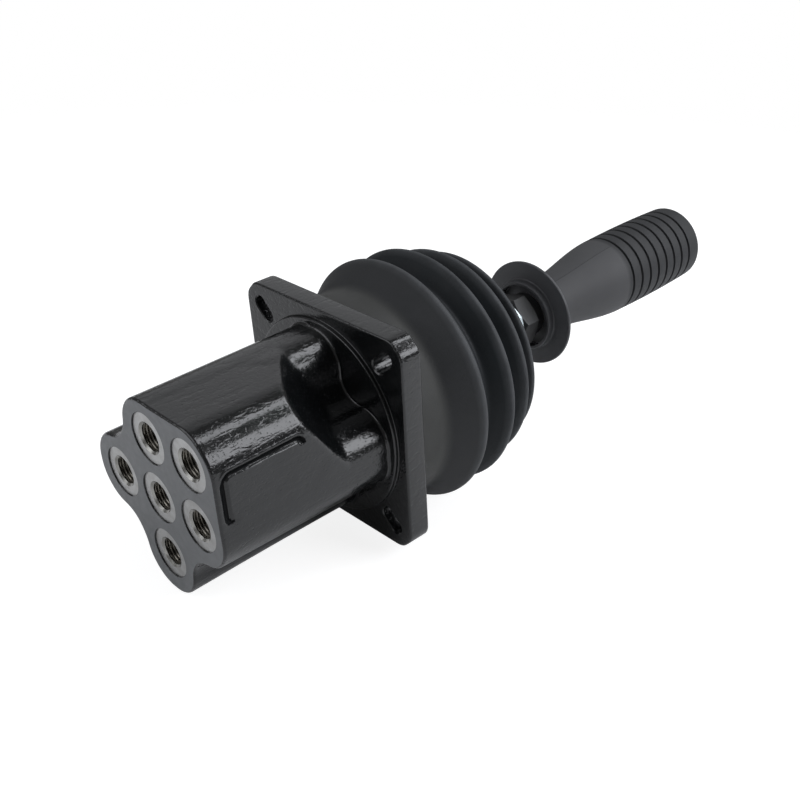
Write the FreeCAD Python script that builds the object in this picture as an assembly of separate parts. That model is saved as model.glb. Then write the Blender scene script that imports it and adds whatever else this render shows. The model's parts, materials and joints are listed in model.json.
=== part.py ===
import FreeCAD, Part
import math
import os

# Two-axis hydraulic pilot control valve with a hand lever and a rubber bellows.
# Millimetres. The origin is the centre of the flange's underside, the face that
# seats on the panel. +Z runs along the lever towards the grip, X and Y run along
# the flange's edges, and the six oil ports open towards -Z.
# Stations: right is +X, left is -X, front is +Y and back is -Y.

Vector = FreeCAD.Vector
UP = Vector(0, 0, 1)
TINY = 0.01
OVERCUT = 1.0

# Flange and its seat
FLANGE_SIDE = 98.0
FLANGE_THICKNESS = 10.5
FLANGE_CORNER_CUT = 6.3
FLANGE_CORNER_ROUND = 3.0
FLANGE_EDGE_ROUND = 1.2
SLOT_WIDTH = 7.0
SLOT_LENGTH = 12.4
SLOT_SPACING = 75.2
PAD_DIAMETER = 89.0
PAD_HEIGHT = 2.0
PAD_EDGE_ROUND = 0.9

# Cast body below the flange: four lobes round the bores, and a corner column
BODY_DEPTH = 84.0
PORT_PITCH = 26.6
LOBE_RADIUS_AT_PORTS = 15.7
LOBE_RADIUS_AT_FLANGE = 14.2
VALLEY_RADIUS_AT_PORTS = 17.2
VALLEY_RADIUS_AT_FLANGE = 11.3
FAR_LOBE_EXTRA_AT_PORTS = 2.6
FAR_CORNER_STRETCH = 1.7
FAR_LOBE_STRETCH_AT_FLANGE = 5.2
NEAR_LOBE_STRETCH_AT_PORTS = 2.0
NEAR_LOBE_STRETCH_AT_FLANGE = 5.7
COLUMN_INSET = 0.2
COLUMN_CORNER_CUT = 10.5
COLUMN_EDGE_ROUND = 15.5
COLUMN_ROUND_SHARE = 0.95
COLUMN_LENGTH = 40.5
COLUMN_RUNOUT_DEGREES = 45.0
FOOT_FLARE = 2.0
PLATE_POCKET_LENGTH = 36.0
PLATE_POCKET_WIDTH = 24.0
PLATE_POCKET_DEPTH = 0.5
PLATE_POCKET_OFFSET = 4.0
PLATE_POCKET_EDGE = 5.0

# Oil ports, G 1/4 pipe thread
SPOTFACE_DIAMETER = 21.4
SPOTFACE_DEPTH = 0.6
PORT_THREAD_DIAMETER = 13.16
PORT_THREAD_LENGTH = 12.0
PORT_CHAMFER = 0.7
PORT_DRILL_POINT = 1.5
TANK_GALLERY_DIAMETER = 9.0
TANK_GALLERY_TOP = -28.0
TANK_DRILLING_DIAMETER = 5.0
TANK_DRILLING_LEVEL = -32.0
PRESSURE_PASSAGE_DIAMETER = 6.0
PRESSURE_LEVEL = -52.0

# Bores of one station
SPOOL_DIAMETER = 8.0
SPOOL_CLEARANCE = 0.02
CHAMBER_DIAMETER = 18.0
CHAMBER_FLOOR = -40.0
GUIDE_DIAMETER = 20.0
GUIDE_BOTTOM = -2.0

# Plunger guide with its seals
GUIDE_CLEARANCE = 0.05
GUIDE_NECK_DIAMETER = 15.0
GUIDE_NECK_HEIGHT = 4.0
ORING_GROOVE_LEVEL = 4.2
ORING_GROOVE_WIDTH = 2.4
ORING_GROOVE_DEPTH = 1.75
ORING_CLEARANCE = 0.03
WIPER_DIAMETER = 12.0
WIPER_HEIGHT = 3.3
WIPER_POCKET_GAP = 0.2
WIPER_GROOVE_WIDTH = 1.0
WIPER_GROOVE_DEPTH = 1.0

# Plunger, its spring seat and the springs
PLUNGER_DIAMETER = 8.0
PLUNGER_CLEARANCE = 0.03
PLUNGER_REST_GAP = 0.8
PLUNGER_BOTTOM = -18.0
PLUNGER_COLLAR_DIAMETER = 11.0
PLUNGER_COLLAR_THICKNESS = 2.0
PLUNGER_HOLE_DIAMETER = 4.0
PLUNGER_HOLE_DEPTH = 13.0
SEAT_DIAMETER = 17.0
SEAT_THICKNESS = 3.0
FIT_CLEARANCE = 0.02
SPRING_END_GAP = 0.05
SPRING_ARCS_PER_TURN = 4
RETURN_SPRING_RADIUS = 7.35
RETURN_SPRING_WIRE = 1.5
RETURN_SPRING_COILS = 5.5
METERING_SPRING_RADIUS = 4.5
METERING_SPRING_WIRE = 0.9
METERING_SPRING_COILS = 6.0

# Spool
SPOOL_BOTTOM = -67.0
SPOOL_COLLAR_BOTTOM = -37.5
SPOOL_COLLAR_DIAMETER = 11.2
SPOOL_COLLAR_THICKNESS = 1.5
SPOOL_STEM_DIAMETER = 3.0
SPOOL_STEM_ENTRY = 3.0
SPOOL_WAIST_DIAMETER = 6.2
SPOOL_WAIST_LENGTH = 8.0
SPOOL_HOLE_DIAMETER = 3.6
SPOOL_CROSS_HOLE_DIAMETER = 2.0

# Retainer plate on the flange, and its screws
RETAINER_DIAMETER = 80.0
RETAINER_THICKNESS = 3.0
RETAINER_HOLE_CLEARANCE = 0.2
RETAINER_RIM_DIAMETER = 87.0
RETAINER_RIM_SEAT = 2.0
RETAINER_RIM_HEIGHT = 2.0
SCREW_CIRCLE_RADIUS = 31.0
SCREW_DIAMETER = 5.0
SCREW_LENGTH = 11.0
SCREW_HEAD_DIAMETER = 9.4
SCREW_SOCKET_FLATS = 3.0
SCREW_SOCKET_DEPTH = 1.6
SCREW_HOLE_EXTRA_DEPTH = 1.0

# Universal joint
PIVOT_HEIGHT = 29.0
JOINT_STUD_DIAMETER = 12.0
JOINT_STUD_LENGTH = 18.0
JOINT_BASE_FLATS = 22.0
JOINT_BASE_THICKNESS = 4.0
EAR_INNER = 8.0
EAR_THICKNESS = 4.0
EAR_RADIUS = 6.0
EAR_GAP = 0.4
CROSS_HEIGHT = 12.0
CROSS_EDGE_CUT = 1.5
TRUNNION_DIAMETER = 7.0
TRUNNION_CLEARANCE = 0.03
BUSH_DIAMETER = 9.0
YOKE_ROOF_HEIGHT = 11.5
YOKE_ROOF_THICKNESS = 4.0
YOKE_ROOF_DIAMETER = 26.0
YOKE_STUD_DIAMETER = 10.0
YOKE_STUD_LENGTH = 20.5

# Cam plate with its washer and lock nut
CAM_DIAMETER = 64.0
CAM_THICKNESS = 4.0
CAM_HUB_INNER_DIAMETER = 30.0
CAM_HUB_WALL = 3.0
CAM_ROOF_THICKNESS = 3.5
CAM_HUB_ROUND = 1.5
THREAD_CLEARANCE = 0.05
WASHER_DIAMETER = 20.0
WASHER_THICKNESS = 1.5
LOCK_NUT_FLATS = 17.0
LOCK_NUT_HEIGHT = 6.0

# Lever rod, nuts and grip
ROD_DIAMETER = 16.0
ROD_SOCKET_DIAMETER = 18.0
ROD_SOCKET_HEIGHT = 16.5
ROD_TOP = 150.0
LEVER_NUT_FLATS = 24.0
LEVER_NUT_HEIGHT = 13.0
LEVER_NUT_GAP = 6.1
COUPLING_FLATS = 24.0
COUPLING_HEIGHT = 10.1
COUPLING_NECK_DIAMETER = 22.0
COUPLING_NECK_HEIGHT = 5.4
NUT_CHAMFER = 1.1
NUT_SINK = 0.7
LEVER_NUT_TURN = -34.0
COUPLING_TURN = -13.0
INSERT_DIAMETER = 22.0
INSERT_HEIGHT = 24.0
INSERT_KNURL_GROOVE = 1.0
INSERT_GROOVE_COUNT = 3
GRIP_TOP = 250.7
GRIP_DISC_DIAMETER = 53.2
GRIP_DISC_RIM = 1.8
GRIP_DISC_DISH = 0.2
GRIP_COLLAR_DIAMETER = 35.2
GRIP_COLLAR_HEIGHT = 3.9
GRIP_RECESS_DIAMETER = 31.6
GRIP_RECESS_DEPTH = 3.9
GRIP_NECK_DIAMETER = 27.0
GRIP_NECK_RISE = 8.0
GRIP_SWELL_DIAMETER = 40.2
GRIP_BELLY_DIAMETER = 41.0
GRIP_END_DIAMETER = 39.6
GRIP_END_ROUND = 1.2
GRIP_GROOVE_COUNT = 8
GRIP_GROOVE_PITCH = 7.08
GRIP_GROOVE_WIDTH = 1.4
GRIP_GROOVE_DEPTH = 0.95
GRIP_LAST_GROOVE_FROM_END = 10.3

# Rubber bellows: base band, crests with the valleys after them, and the neck
BAND_DIAMETER = 95.0
BAND_HEIGHT = 14.5
BELLOWS_WALL = 2.4
BELLOWS_LIP_GAP = 0.2
CREST_1_DIAMETER = 112.8
CREST_2_DIAMETER = 110.8
CREST_3_DIAMETER = 102.0
CREST_4_DIAMETER = 94.2
CREST_1_LEVEL = 39.2
CREST_2_LEVEL = 57.1
CREST_3_LEVEL = 71.2
CREST_4_LEVEL = 79.8
VALLEY_1_DIAMETER = 95.0
VALLEY_2_DIAMETER = 91.0
VALLEY_3_DIAMETER = 84.0
CREST_FLAT = 1.6
BELLOWS_SHOULDER_RISE = 7.0
BELLOWS_NECK_DIAMETER = 25.0
BELLOWS_NECK_HEIGHT = 8.0
BELLOWS_NECK_CLEARANCE = 0.35

# Levels and radii that follow from the sizes above
PORT_FACE = -BODY_DEPTH
FLANGE_TOP = FLANGE_THICKNESS
PLATE_TOP = FLANGE_TOP + RETAINER_THICKNESS
GUIDE_TOP = FLANGE_TOP + GUIDE_NECK_HEIGHT
JOINT_BASE_TOP = PLATE_TOP + JOINT_BASE_THICKNESS
EAR_OUTER = EAR_INNER + EAR_THICKNESS
YOKE_ROOF = PIVOT_HEIGHT + YOKE_ROOF_HEIGHT
YOKE_TOP = YOKE_ROOF + YOKE_ROOF_THICKNESS
CAM_TOP = YOKE_TOP + CAM_ROOF_THICKNESS
LOCK_NUT_BOTTOM = CAM_TOP + WASHER_THICKNESS
ROD_BOTTOM = LOCK_NUT_BOTTOM + LOCK_NUT_HEIGHT
CREST_DIAMETERS = (CREST_1_DIAMETER, CREST_2_DIAMETER, CREST_3_DIAMETER, CREST_4_DIAMETER)
CREST_LEVELS = (CREST_1_LEVEL, CREST_2_LEVEL, CREST_3_LEVEL, CREST_4_LEVEL)
VALLEY_DIAMETERS = (VALLEY_1_DIAMETER, VALLEY_2_DIAMETER, VALLEY_3_DIAMETER)
BELLOWS_TOP = CREST_4_LEVEL + BELLOWS_SHOULDER_RISE + BELLOWS_NECK_HEIGHT
LEVER_NUT_BOTTOM = BELLOWS_TOP + LEVER_NUT_GAP
LEVER_NUT_TOP = LEVER_NUT_BOTTOM + LEVER_NUT_HEIGHT
COUPLING_TOP = LEVER_NUT_TOP + COUPLING_HEIGHT
RECESS_FLOOR = COUPLING_TOP + COUPLING_NECK_HEIGHT
COLLAR_FACE = RECESS_FLOOR - GRIP_RECESS_DEPTH
DISC_FACE = COLLAR_FACE + GRIP_COLLAR_HEIGHT
SPOOL_COLLAR_TOP = SPOOL_COLLAR_BOTTOM + SPOOL_COLLAR_THICKNESS
THREAD_END = PORT_FACE + SPOTFACE_DEPTH + PORT_CHAMFER + PORT_THREAD_LENGTH

STATIONS = {
    "right": (PORT_PITCH, 0.0),
    "front": (0.0, PORT_PITCH),
    "left": (-PORT_PITCH, 0.0),
    "back": (0.0, -PORT_PITCH),
}
TANK_PORT = (0.0, 0.0)
PRESSURE_PORT = (PORT_PITCH, -PORT_PITCH)


def rod(diameter, low, high, x=0.0, y=0.0):
    """Upright cylinder between two levels."""
    return Part.makeCylinder(diameter / 2, high - low, Vector(x, y, low), UP)


def tube(outer, inner, low, high, x=0.0, y=0.0):
    """Upright tube; the bore is cut a little past both ends."""
    return rod(outer, low, high, x, y).cut(rod(inner, low - OVERCUT, high + OVERCUT, x, y))


def frustum(low_diameter, high_diameter, low, high, x=0.0, y=0.0):
    """Upright cone between two levels."""
    return Part.makeCone(low_diameter / 2, high_diameter / 2, high - low, Vector(x, y, low), UP)


def turned(outline):
    """Solid of revolution from a closed outline of (radius, level) points."""
    points = [Vector(r, 0, z) for r, z in outline]
    face = Part.Face(Part.makePolygon(points + points[:1]))
    return face.revolve(Vector(0, 0, 0), UP, 360)


def prism(points, low, high):
    """Upright prism from (x, y) corners."""
    corners = [Vector(x, y, low) for x, y in points]
    return Part.Face(Part.makePolygon(corners + corners[:1])).extrude(Vector(0, 0, high - low))


def hexagon(flats, low, high, turn=0.0):
    """Hexagonal prism with one corner at an angle from +X, in degrees."""
    radius = flats / math.sqrt(3)
    angles = [math.radians(60 * i + turn) for i in range(6)]
    return prism([(radius * math.cos(angle), radius * math.sin(angle)) for angle in angles], low, high)


def nut(flats, bore, low, high, turn=0.0):
    """Hexagon nut: corners turned off at both faces and a countersunk bore."""
    corner = flats / math.sqrt(3) + TINY
    flat = flats / 2
    envelope = turned([(0, low), (flat, low), (corner, low + NUT_CHAMFER),
                       (corner, high - NUT_CHAMFER), (flat, high), (0, high)])
    blank = hexagon(flats, low, high, turn).common(envelope)
    return blank.cut([
        rod(bore, low - OVERCUT, high + OVERCUT),
        frustum(bore + 2 * NUT_SINK, bore, low, low + NUT_SINK),
        frustum(bore, bore + 2 * NUT_SINK, high - NUT_SINK, high)])


def coil_spring(radius, wire, coils, low, high, x, y):
    """Round wire along a helix of short arcs, just clear of the two faces it stands between."""
    start = low + wire / 2 + SPRING_END_GAP
    height = high - low - wire - 2 * SPRING_END_GAP
    steps = round(coils * SPRING_ARCS_PER_TURN)

    def helix_point(step):
        angle = 2 * math.pi * coils * step / steps
        return Vector(x + radius * math.cos(angle), y + radius * math.sin(angle),
                      start + height * step / steps)

    arcs = [Part.Arc(helix_point(i), helix_point(i + 0.5), helix_point(i + 1)).toShape()
            for i in range(steps)]
    slope = arcs[0].tangentAt(arcs[0].FirstParameter)
    section = Part.Wire(Part.makeCircle(wire / 2, helix_point(0), slope))
    return Part.Wire(arcs).makePipeShell([section], True, False)


def at_stations(make):
    """One compound of the same piece at all four stations."""
    return Part.Compound([make(x, y) for x, y in STATIONS.values()])


def write(name, shape):
    """Check a piece and save it as a STEP file of its own."""
    if not shape.isValid() or not shape.Solids:
        raise ValueError("bad shape: " + name)
    if len(shape.Solids) == 1 and shape.ShapeType != "Solid":
        shape = shape.Solids[0]
    shape.exportStep("parts/" + name + ".step")
    box = shape.BoundBox
    print("%-26s %2d solids %10.1f mm3  z %7.2f to %7.2f" % (
        name, len(shape.Solids), shape.Volume, box.ZMin, box.ZMax))


# Cast valve body

def valley_centre(first, second, distance):
    """Centre of the arc between two lobe ends, on the side away from the body's axis."""
    dx, dy = second[0] - first[0], second[1] - first[1]
    length = math.hypot(dx, dy)
    rise = math.sqrt(distance ** 2 - length ** 2 / 4)
    middle_x, middle_y = (first[0] + second[0]) / 2, (first[1] + second[1]) / 2
    return middle_x + rise * dy / length, middle_y - rise * dx / length


def towards(start, end, distance):
    """Point at a distance from start on the line to end."""
    dx, dy = end[0] - start[0], end[1] - start[1]
    length = math.hypot(dx, dy)
    return start[0] + distance * dx / length, start[1] + distance * dy / length


def lobe_ends(extra, far_stretch, near_stretch):
    """Centres of each lobe's two round ends, going round from the right lobe.

    The right and back lobes are long away from the column. The left and front lobes stand
    further out, and are long towards each other and towards the near lobes.
    """
    out = PORT_PITCH + extra
    return [((PORT_PITCH, 0), (PORT_PITCH, near_stretch)),
            ((far_stretch, out), (-FAR_CORNER_STRETCH, out)),
            ((-out, FAR_CORNER_STRETCH), (-out, -far_stretch)),
            ((-near_stretch, -PORT_PITCH), (0, -PORT_PITCH))]


def arc_about(centre, start, end, level):
    """Arc of less than half a turn about a centre, between two points of its circle."""
    radius = math.dist(centre, start)
    middle = towards(centre, ((start[0] + end[0]) / 2, (start[1] + end[1]) / 2), radius)
    return Part.Arc(*[Vector(x, y, level) for x, y in (start, middle, end)]).toShape()


def lobes_at(level):
    """Lobe radius, valley radius and lobe ends at one level of the tapered body."""
    share = (level - PORT_FACE) / (-PAD_HEIGHT / 2 - PORT_FACE)

    def between(at_ports, at_flange):
        return at_ports + share * (at_flange - at_ports)

    ends = lobe_ends(between(FAR_LOBE_EXTRA_AT_PORTS, 0), between(0, FAR_LOBE_STRETCH_AT_FLANGE),
                     between(NEAR_LOBE_STRETCH_AT_PORTS, NEAR_LOBE_STRETCH_AT_FLANGE))
    return (between(LOBE_RADIUS_AT_PORTS, LOBE_RADIUS_AT_FLANGE),
            between(VALLEY_RADIUS_AT_PORTS, VALLEY_RADIUS_AT_FLANGE), ends)


def lobed_wire(level, grow=0.0):
    """Closed outline of four round-ended lobes joined by hollow arcs tangent to them."""
    radius, valley, ends = lobes_at(level)
    radius, valley = radius + grow, valley - grow
    hollows = [valley_centre(ends[i][1], ends[(i + 1) % 4][0], radius + valley) for i in range(4)]
    outwards = ((1, 0), (0, 1), (-1, 0), (0, -1))
    edges = []
    for i, (first, last) in enumerate(ends):
        out_x, out_y = outwards[i]
        crest_start = (first[0] + radius * out_x, first[1] + radius * out_y)
        crest_end = (last[0] + radius * out_x, last[1] + radius * out_y)
        end = towards(last, hollows[i], radius)
        next_start = towards(ends[(i + 1) % 4][0], hollows[i], radius)
        edges.append(arc_about(first, towards(first, hollows[i - 1], radius), crest_start, level))
        edges.append(Part.makeLine(Vector(*crest_start, level), Vector(*crest_end, level)))
        edges.append(arc_about(last, crest_end, end, level))
        edges.append(arc_about(hollows[i], end, next_start, level))
    return Part.Wire(edges)


def tapered_prism(low_points, high_points, low, high):
    """Solid with flat sides between two outlines of as many corners."""
    rings = [[Vector(x, y, low) for x, y in low_points], [Vector(x, y, high) for x, y in high_points]]
    return Part.makeLoft([Part.makePolygon(ring + ring[:1]) for ring in rings], True, True)


def column_outline(lobe):
    """Corner column between the right and back lobes, flush with their crests."""
    reach = PORT_PITCH + lobe - COLUMN_INSET
    cut = reach - COLUMN_CORNER_CUT
    return [(0, 0), (0, -reach), (cut, -reach), (reach, -cut), (reach, 0)]


def corner_column():
    """Column that holds the pressure port, sloping away into the valley at its end."""
    low, high = column_outline(LOBE_RADIUS_AT_PORTS), column_outline(LOBE_RADIUS_AT_FLANGE)
    solid = tapered_prism(low, high, PORT_FACE, -PAD_HEIGHT)
    corner_edges = [edge for edge in solid.Edges
                    if abs(edge.Vertexes[0].Z - edge.Vertexes[1].Z) > BODY_DEPTH / 2
                    and min(v.X for v in edge.Vertexes) > 1 and max(v.Y for v in edge.Vertexes) < -1]
    flat = COLUMN_CORNER_CUT * math.sqrt(2)
    largest = flat / 2 / math.tan(math.pi / 8)
    edge_round = min(COLUMN_EDGE_ROUND, COLUMN_ROUND_SHARE * largest)
    solid = solid.makeFillet(edge_round, corner_edges)
    reach = PORT_PITCH + LOBE_RADIUS_AT_PORTS - COLUMN_INSET
    corner = (reach - COLUMN_CORNER_CUT / 2) * math.sqrt(2)
    size = 4 * BODY_DEPTH
    cutter = Part.makeBox(size, size, size, Vector(-size / 2, -size / 2, 0))
    cutter.rotate(Vector(0, 0, 0), Vector(0, 1, 0), COLUMN_RUNOUT_DEGREES)
    cutter.translate(Vector(corner, 0, PORT_FACE + COLUMN_LENGTH))
    cutter.rotate(Vector(0, 0, 0), UP, -45)
    return solid.cut(cutter)


def flange_plate():
    """Square plate with cut and rounded corners and softened rims."""
    half = FLANGE_SIDE / 2
    cut = half - FLANGE_CORNER_CUT
    outline = [(half, -cut), (half, cut), (cut, half), (-cut, half),
               (-half, cut), (-half, -cut), (-cut, -half), (cut, -half)]
    plate = prism(outline, 0, FLANGE_TOP)
    upright = [edge for edge in plate.Edges if abs(edge.Vertexes[0].Z - edge.Vertexes[1].Z) > 1]
    plate = plate.makeFillet(FLANGE_CORNER_ROUND, upright)
    rims = [edge for edge in plate.Edges if edge.BoundBox.ZLength < TINY]
    return plate.makeFillet(FLANGE_EDGE_ROUND, rims)


def diagonal_slot(x, y):
    """Slot through the flange, along the diagonal it stands on."""
    straight = (SLOT_LENGTH - SLOT_WIDTH) / 2
    low, high = -PAD_HEIGHT - OVERCUT, FLANGE_TOP + OVERCUT
    bar = Part.makeBox(2 * straight, SLOT_WIDTH, high - low, Vector(-straight, -SLOT_WIDTH / 2, low))
    slot = bar.fuse([rod(SLOT_WIDTH, low, high, straight), rod(SLOT_WIDTH, low, high, -straight)])
    slot = slot.removeSplitter()
    slot.rotate(Vector(0, 0, 0), UP, math.degrees(math.atan2(y, x)))
    slot.translate(Vector(x, y, 0))
    return slot


def port_cutter(x, y, passage, passage_top):
    """Spot-face, mouth chamfer, threaded bore, drill point and the passage behind them."""
    floor = PORT_FACE + SPOTFACE_DEPTH
    mouth = floor + PORT_CHAMFER
    wide = PORT_THREAD_DIAMETER + 2 * PORT_CHAMFER
    cutter = rod(SPOTFACE_DIAMETER, PORT_FACE - OVERCUT, floor, x, y)
    parts = [
        frustum(wide, PORT_THREAD_DIAMETER, floor, mouth, x, y),
        rod(PORT_THREAD_DIAMETER, mouth, THREAD_END, x, y),
        frustum(PORT_THREAD_DIAMETER, passage, THREAD_END, THREAD_END + PORT_DRILL_POINT, x, y),
        rod(passage, THREAD_END, passage_top, x, y),
    ]
    return cutter.fuse(parts)


def level_drilling(diameter, start, end, level):
    """Horizontal round passage between two (x, y) places."""
    run = Vector(end[0] - start[0], end[1] - start[1], 0)
    return Part.makeCylinder(diameter / 2, run.Length, Vector(start[0], start[1], level), run)


def body_cutters():
    """Every bore, passage and slot of the casting."""
    cutters = []
    spool_bore = SPOOL_DIAMETER + 2 * SPOOL_CLEARANCE
    for x, y in STATIONS.values():
        cutters.append(port_cutter(x, y, spool_bore, CHAMBER_FLOOR + OVERCUT))
        cutters.append(rod(CHAMBER_DIAMETER, CHAMBER_FLOOR, GUIDE_BOTTOM + OVERCUT, x, y))
        cutters.append(rod(GUIDE_DIAMETER, GUIDE_BOTTOM, FLANGE_TOP + OVERCUT, x, y))
    cutters.append(port_cutter(*TANK_PORT, TANK_GALLERY_DIAMETER, TANK_GALLERY_TOP))
    cutters.append(port_cutter(*PRESSURE_PORT, PRESSURE_PASSAGE_DIAMETER, PRESSURE_LEVEL))
    places = list(STATIONS.values())
    for i in range(4):
        cutters.append(level_drilling(PRESSURE_PASSAGE_DIAMETER, places[i], places[i - 1],
                                      PRESSURE_LEVEL))
    middle = (PORT_PITCH / 2, -PORT_PITCH / 2)
    cutters.append(level_drilling(PRESSURE_PASSAGE_DIAMETER, middle, PRESSURE_PORT, PRESSURE_LEVEL))
    for i in range(2):
        cutters.append(level_drilling(TANK_DRILLING_DIAMETER, places[i], places[i + 2],
                                      TANK_DRILLING_LEVEL))
    stud_hole = JOINT_STUD_DIAMETER + 2 * THREAD_CLEARANCE
    cutters.append(rod(stud_hole, PLATE_TOP - JOINT_STUD_LENGTH - OVERCUT, FLANGE_TOP + OVERCUT))
    screw_hole = SCREW_DIAMETER + 2 * THREAD_CLEARANCE
    hole_bottom = PLATE_TOP - SCREW_LENGTH - SCREW_HOLE_EXTRA_DEPTH
    for x, y in screw_places():
        cutters.append(rod(screw_hole, hole_bottom, FLANGE_TOP + OVERCUT, x, y))
    half = SLOT_SPACING / 2
    for x, y in ((half, half), (-half, half), (-half, -half), (half, -half)):
        cutters.append(diagonal_slot(x, y))
    return cutters


def plate_pocket():
    """Shallow bare pocket on the right face, where a plate can be fixed."""
    face = PORT_PITCH + LOBE_RADIUS_AT_PORTS - COLUMN_INSET
    draft = math.atan2(LOBE_RADIUS_AT_PORTS - LOBE_RADIUS_AT_FLANGE, BODY_DEPTH - PAD_HEIGHT)
    box = Part.makeBox(BODY_DEPTH, PLATE_POCKET_WIDTH, PLATE_POCKET_LENGTH,
                       Vector(-PLATE_POCKET_DEPTH, 0, 0))
    box.rotate(Vector(0, 0, 0), Vector(0, 1, 0), -math.degrees(draft))
    inward = PLATE_POCKET_OFFSET * math.tan(draft)
    top_edge = -PLATE_POCKET_EDGE - PLATE_POCKET_WIDTH
    box.translate(Vector(face - inward, top_edge, PORT_FACE + PLATE_POCKET_OFFSET))
    return box


def lobed_body():
    """Tapered lobed core, with a flared foot where it meets the pad."""
    core = Part.makeLoft([lobed_wire(PORT_FACE), lobed_wire(-PAD_HEIGHT / 2)], True, True)
    flare = Part.makeLoft([lobed_wire(-PAD_HEIGHT - FOOT_FLARE, -2 * TINY),
                           lobed_wire(-PAD_HEIGHT + TINY, FOOT_FLARE)], True, True)
    return [core, flare]


def valve_body():
    """Casting: lobed body, corner column, round pad and square flange, all bored."""
    pad = rod(PAD_DIAMETER, -PAD_HEIGHT, FLANGE_TOP / 2)
    low_rim = [edge for edge in pad.Edges if abs(edge.BoundBox.ZMax + PAD_HEIGHT) < TINY]
    pad = pad.makeFillet(PAD_EDGE_ROUND, low_rim)
    body = flange_plate().fuse([pad, corner_column()] + lobed_body())
    return body.cut(body_cutters() + [plate_pocket()])


# Plunger stations

def plunger_guide(x, y):
    """Guide bush: body in the casting, neck through the retainer plate, seal pocket on top."""
    body = rod(GUIDE_DIAMETER - 2 * GUIDE_CLEARANCE, GUIDE_BOTTOM, FLANGE_TOP, x, y)
    body = body.fuse(rod(GUIDE_NECK_DIAMETER, FLANGE_TOP - OVERCUT, GUIDE_TOP, x, y))
    groove_floor = GUIDE_DIAMETER - 2 * GUIDE_CLEARANCE - 2 * ORING_GROOVE_DEPTH
    low = ORING_GROOVE_LEVEL - ORING_GROOVE_WIDTH / 2
    body = body.cut(tube(GUIDE_DIAMETER + 2, groove_floor, low, low + ORING_GROOVE_WIDTH, x, y))
    bore = PLUNGER_DIAMETER + 2 * PLUNGER_CLEARANCE
    body = body.cut(rod(bore, GUIDE_BOTTOM - OVERCUT, GUIDE_TOP + OVERCUT, x, y))
    pocket_floor = GUIDE_TOP - WIPER_HEIGHT - WIPER_POCKET_GAP
    return body.cut(rod(WIPER_DIAMETER, pocket_floor, GUIDE_TOP + OVERCUT, x, y))


def guide_oring(x, y):
    """Rubber ring between the guide's groove and the casting's bore."""
    outer = GUIDE_DIAMETER / 2 - ORING_CLEARANCE
    inner = GUIDE_DIAMETER / 2 - GUIDE_CLEARANCE - ORING_GROOVE_DEPTH + ORING_CLEARANCE
    section = (outer - inner) / 2
    return Part.makeTorus((outer + inner) / 2, section, Vector(x, y, ORING_GROOVE_LEVEL), UP)


def wiper_seal(x, y):
    """Lip ring round the plunger in the guide's pocket, with a drip groove on top."""
    low = GUIDE_TOP - WIPER_HEIGHT - WIPER_POCKET_GAP / 2
    high = GUIDE_TOP - WIPER_POCKET_GAP / 2
    outer = WIPER_DIAMETER - 2 * FIT_CLEARANCE
    inner = PLUNGER_DIAMETER + 2 * PLUNGER_CLEARANCE
    middle = (outer + inner) / 2
    ring = tube(outer, inner, low, high, x, y)
    groove = tube(middle + WIPER_GROOVE_WIDTH, middle - WIPER_GROOVE_WIDTH,
                  high - WIPER_GROOVE_DEPTH, high + OVERCUT, x, y)
    return ring.cut(groove)


def plunger(x, y):
    """Push rod with a ball end under the cam plate and a collar for its spring seat."""
    radius = PLUNGER_DIAMETER / 2
    ball = PIVOT_HEIGHT - PLUNGER_REST_GAP - radius
    collar = PLUNGER_BOTTOM + SEAT_THICKNESS
    solid = rod(PLUNGER_DIAMETER, PLUNGER_BOTTOM, ball, x, y)
    solid = solid.fuse([
        Part.makeSphere(radius, Vector(x, y, ball), UP, 0, 90, 360),
        rod(PLUNGER_COLLAR_DIAMETER, collar, collar + PLUNGER_COLLAR_THICKNESS, x, y)])
    hole_end = PLUNGER_BOTTOM + PLUNGER_HOLE_DEPTH
    return solid.cut(rod(PLUNGER_HOLE_DIAMETER, PLUNGER_BOTTOM - OVERCUT, hole_end, x, y))


def spring_seat(x, y):
    """Ring under the plunger's collar that both springs push on."""
    bore = PLUNGER_DIAMETER + 2 * FIT_CLEARANCE
    return tube(SEAT_DIAMETER, bore, PLUNGER_BOTTOM, PLUNGER_BOTTOM + SEAT_THICKNESS, x, y)


def return_spring(x, y):
    """Spring from the chamber floor to the spring seat."""
    return coil_spring(RETURN_SPRING_RADIUS, RETURN_SPRING_WIRE, RETURN_SPRING_COILS,
                       CHAMBER_FLOOR, PLUNGER_BOTTOM, x, y)


def metering_spring(x, y):
    """Spring from the spool's collar to the spring seat."""
    return coil_spring(METERING_SPRING_RADIUS, METERING_SPRING_WIRE, METERING_SPRING_COILS,
                       SPOOL_COLLAR_TOP, PLUNGER_BOTTOM, x, y)


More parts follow.
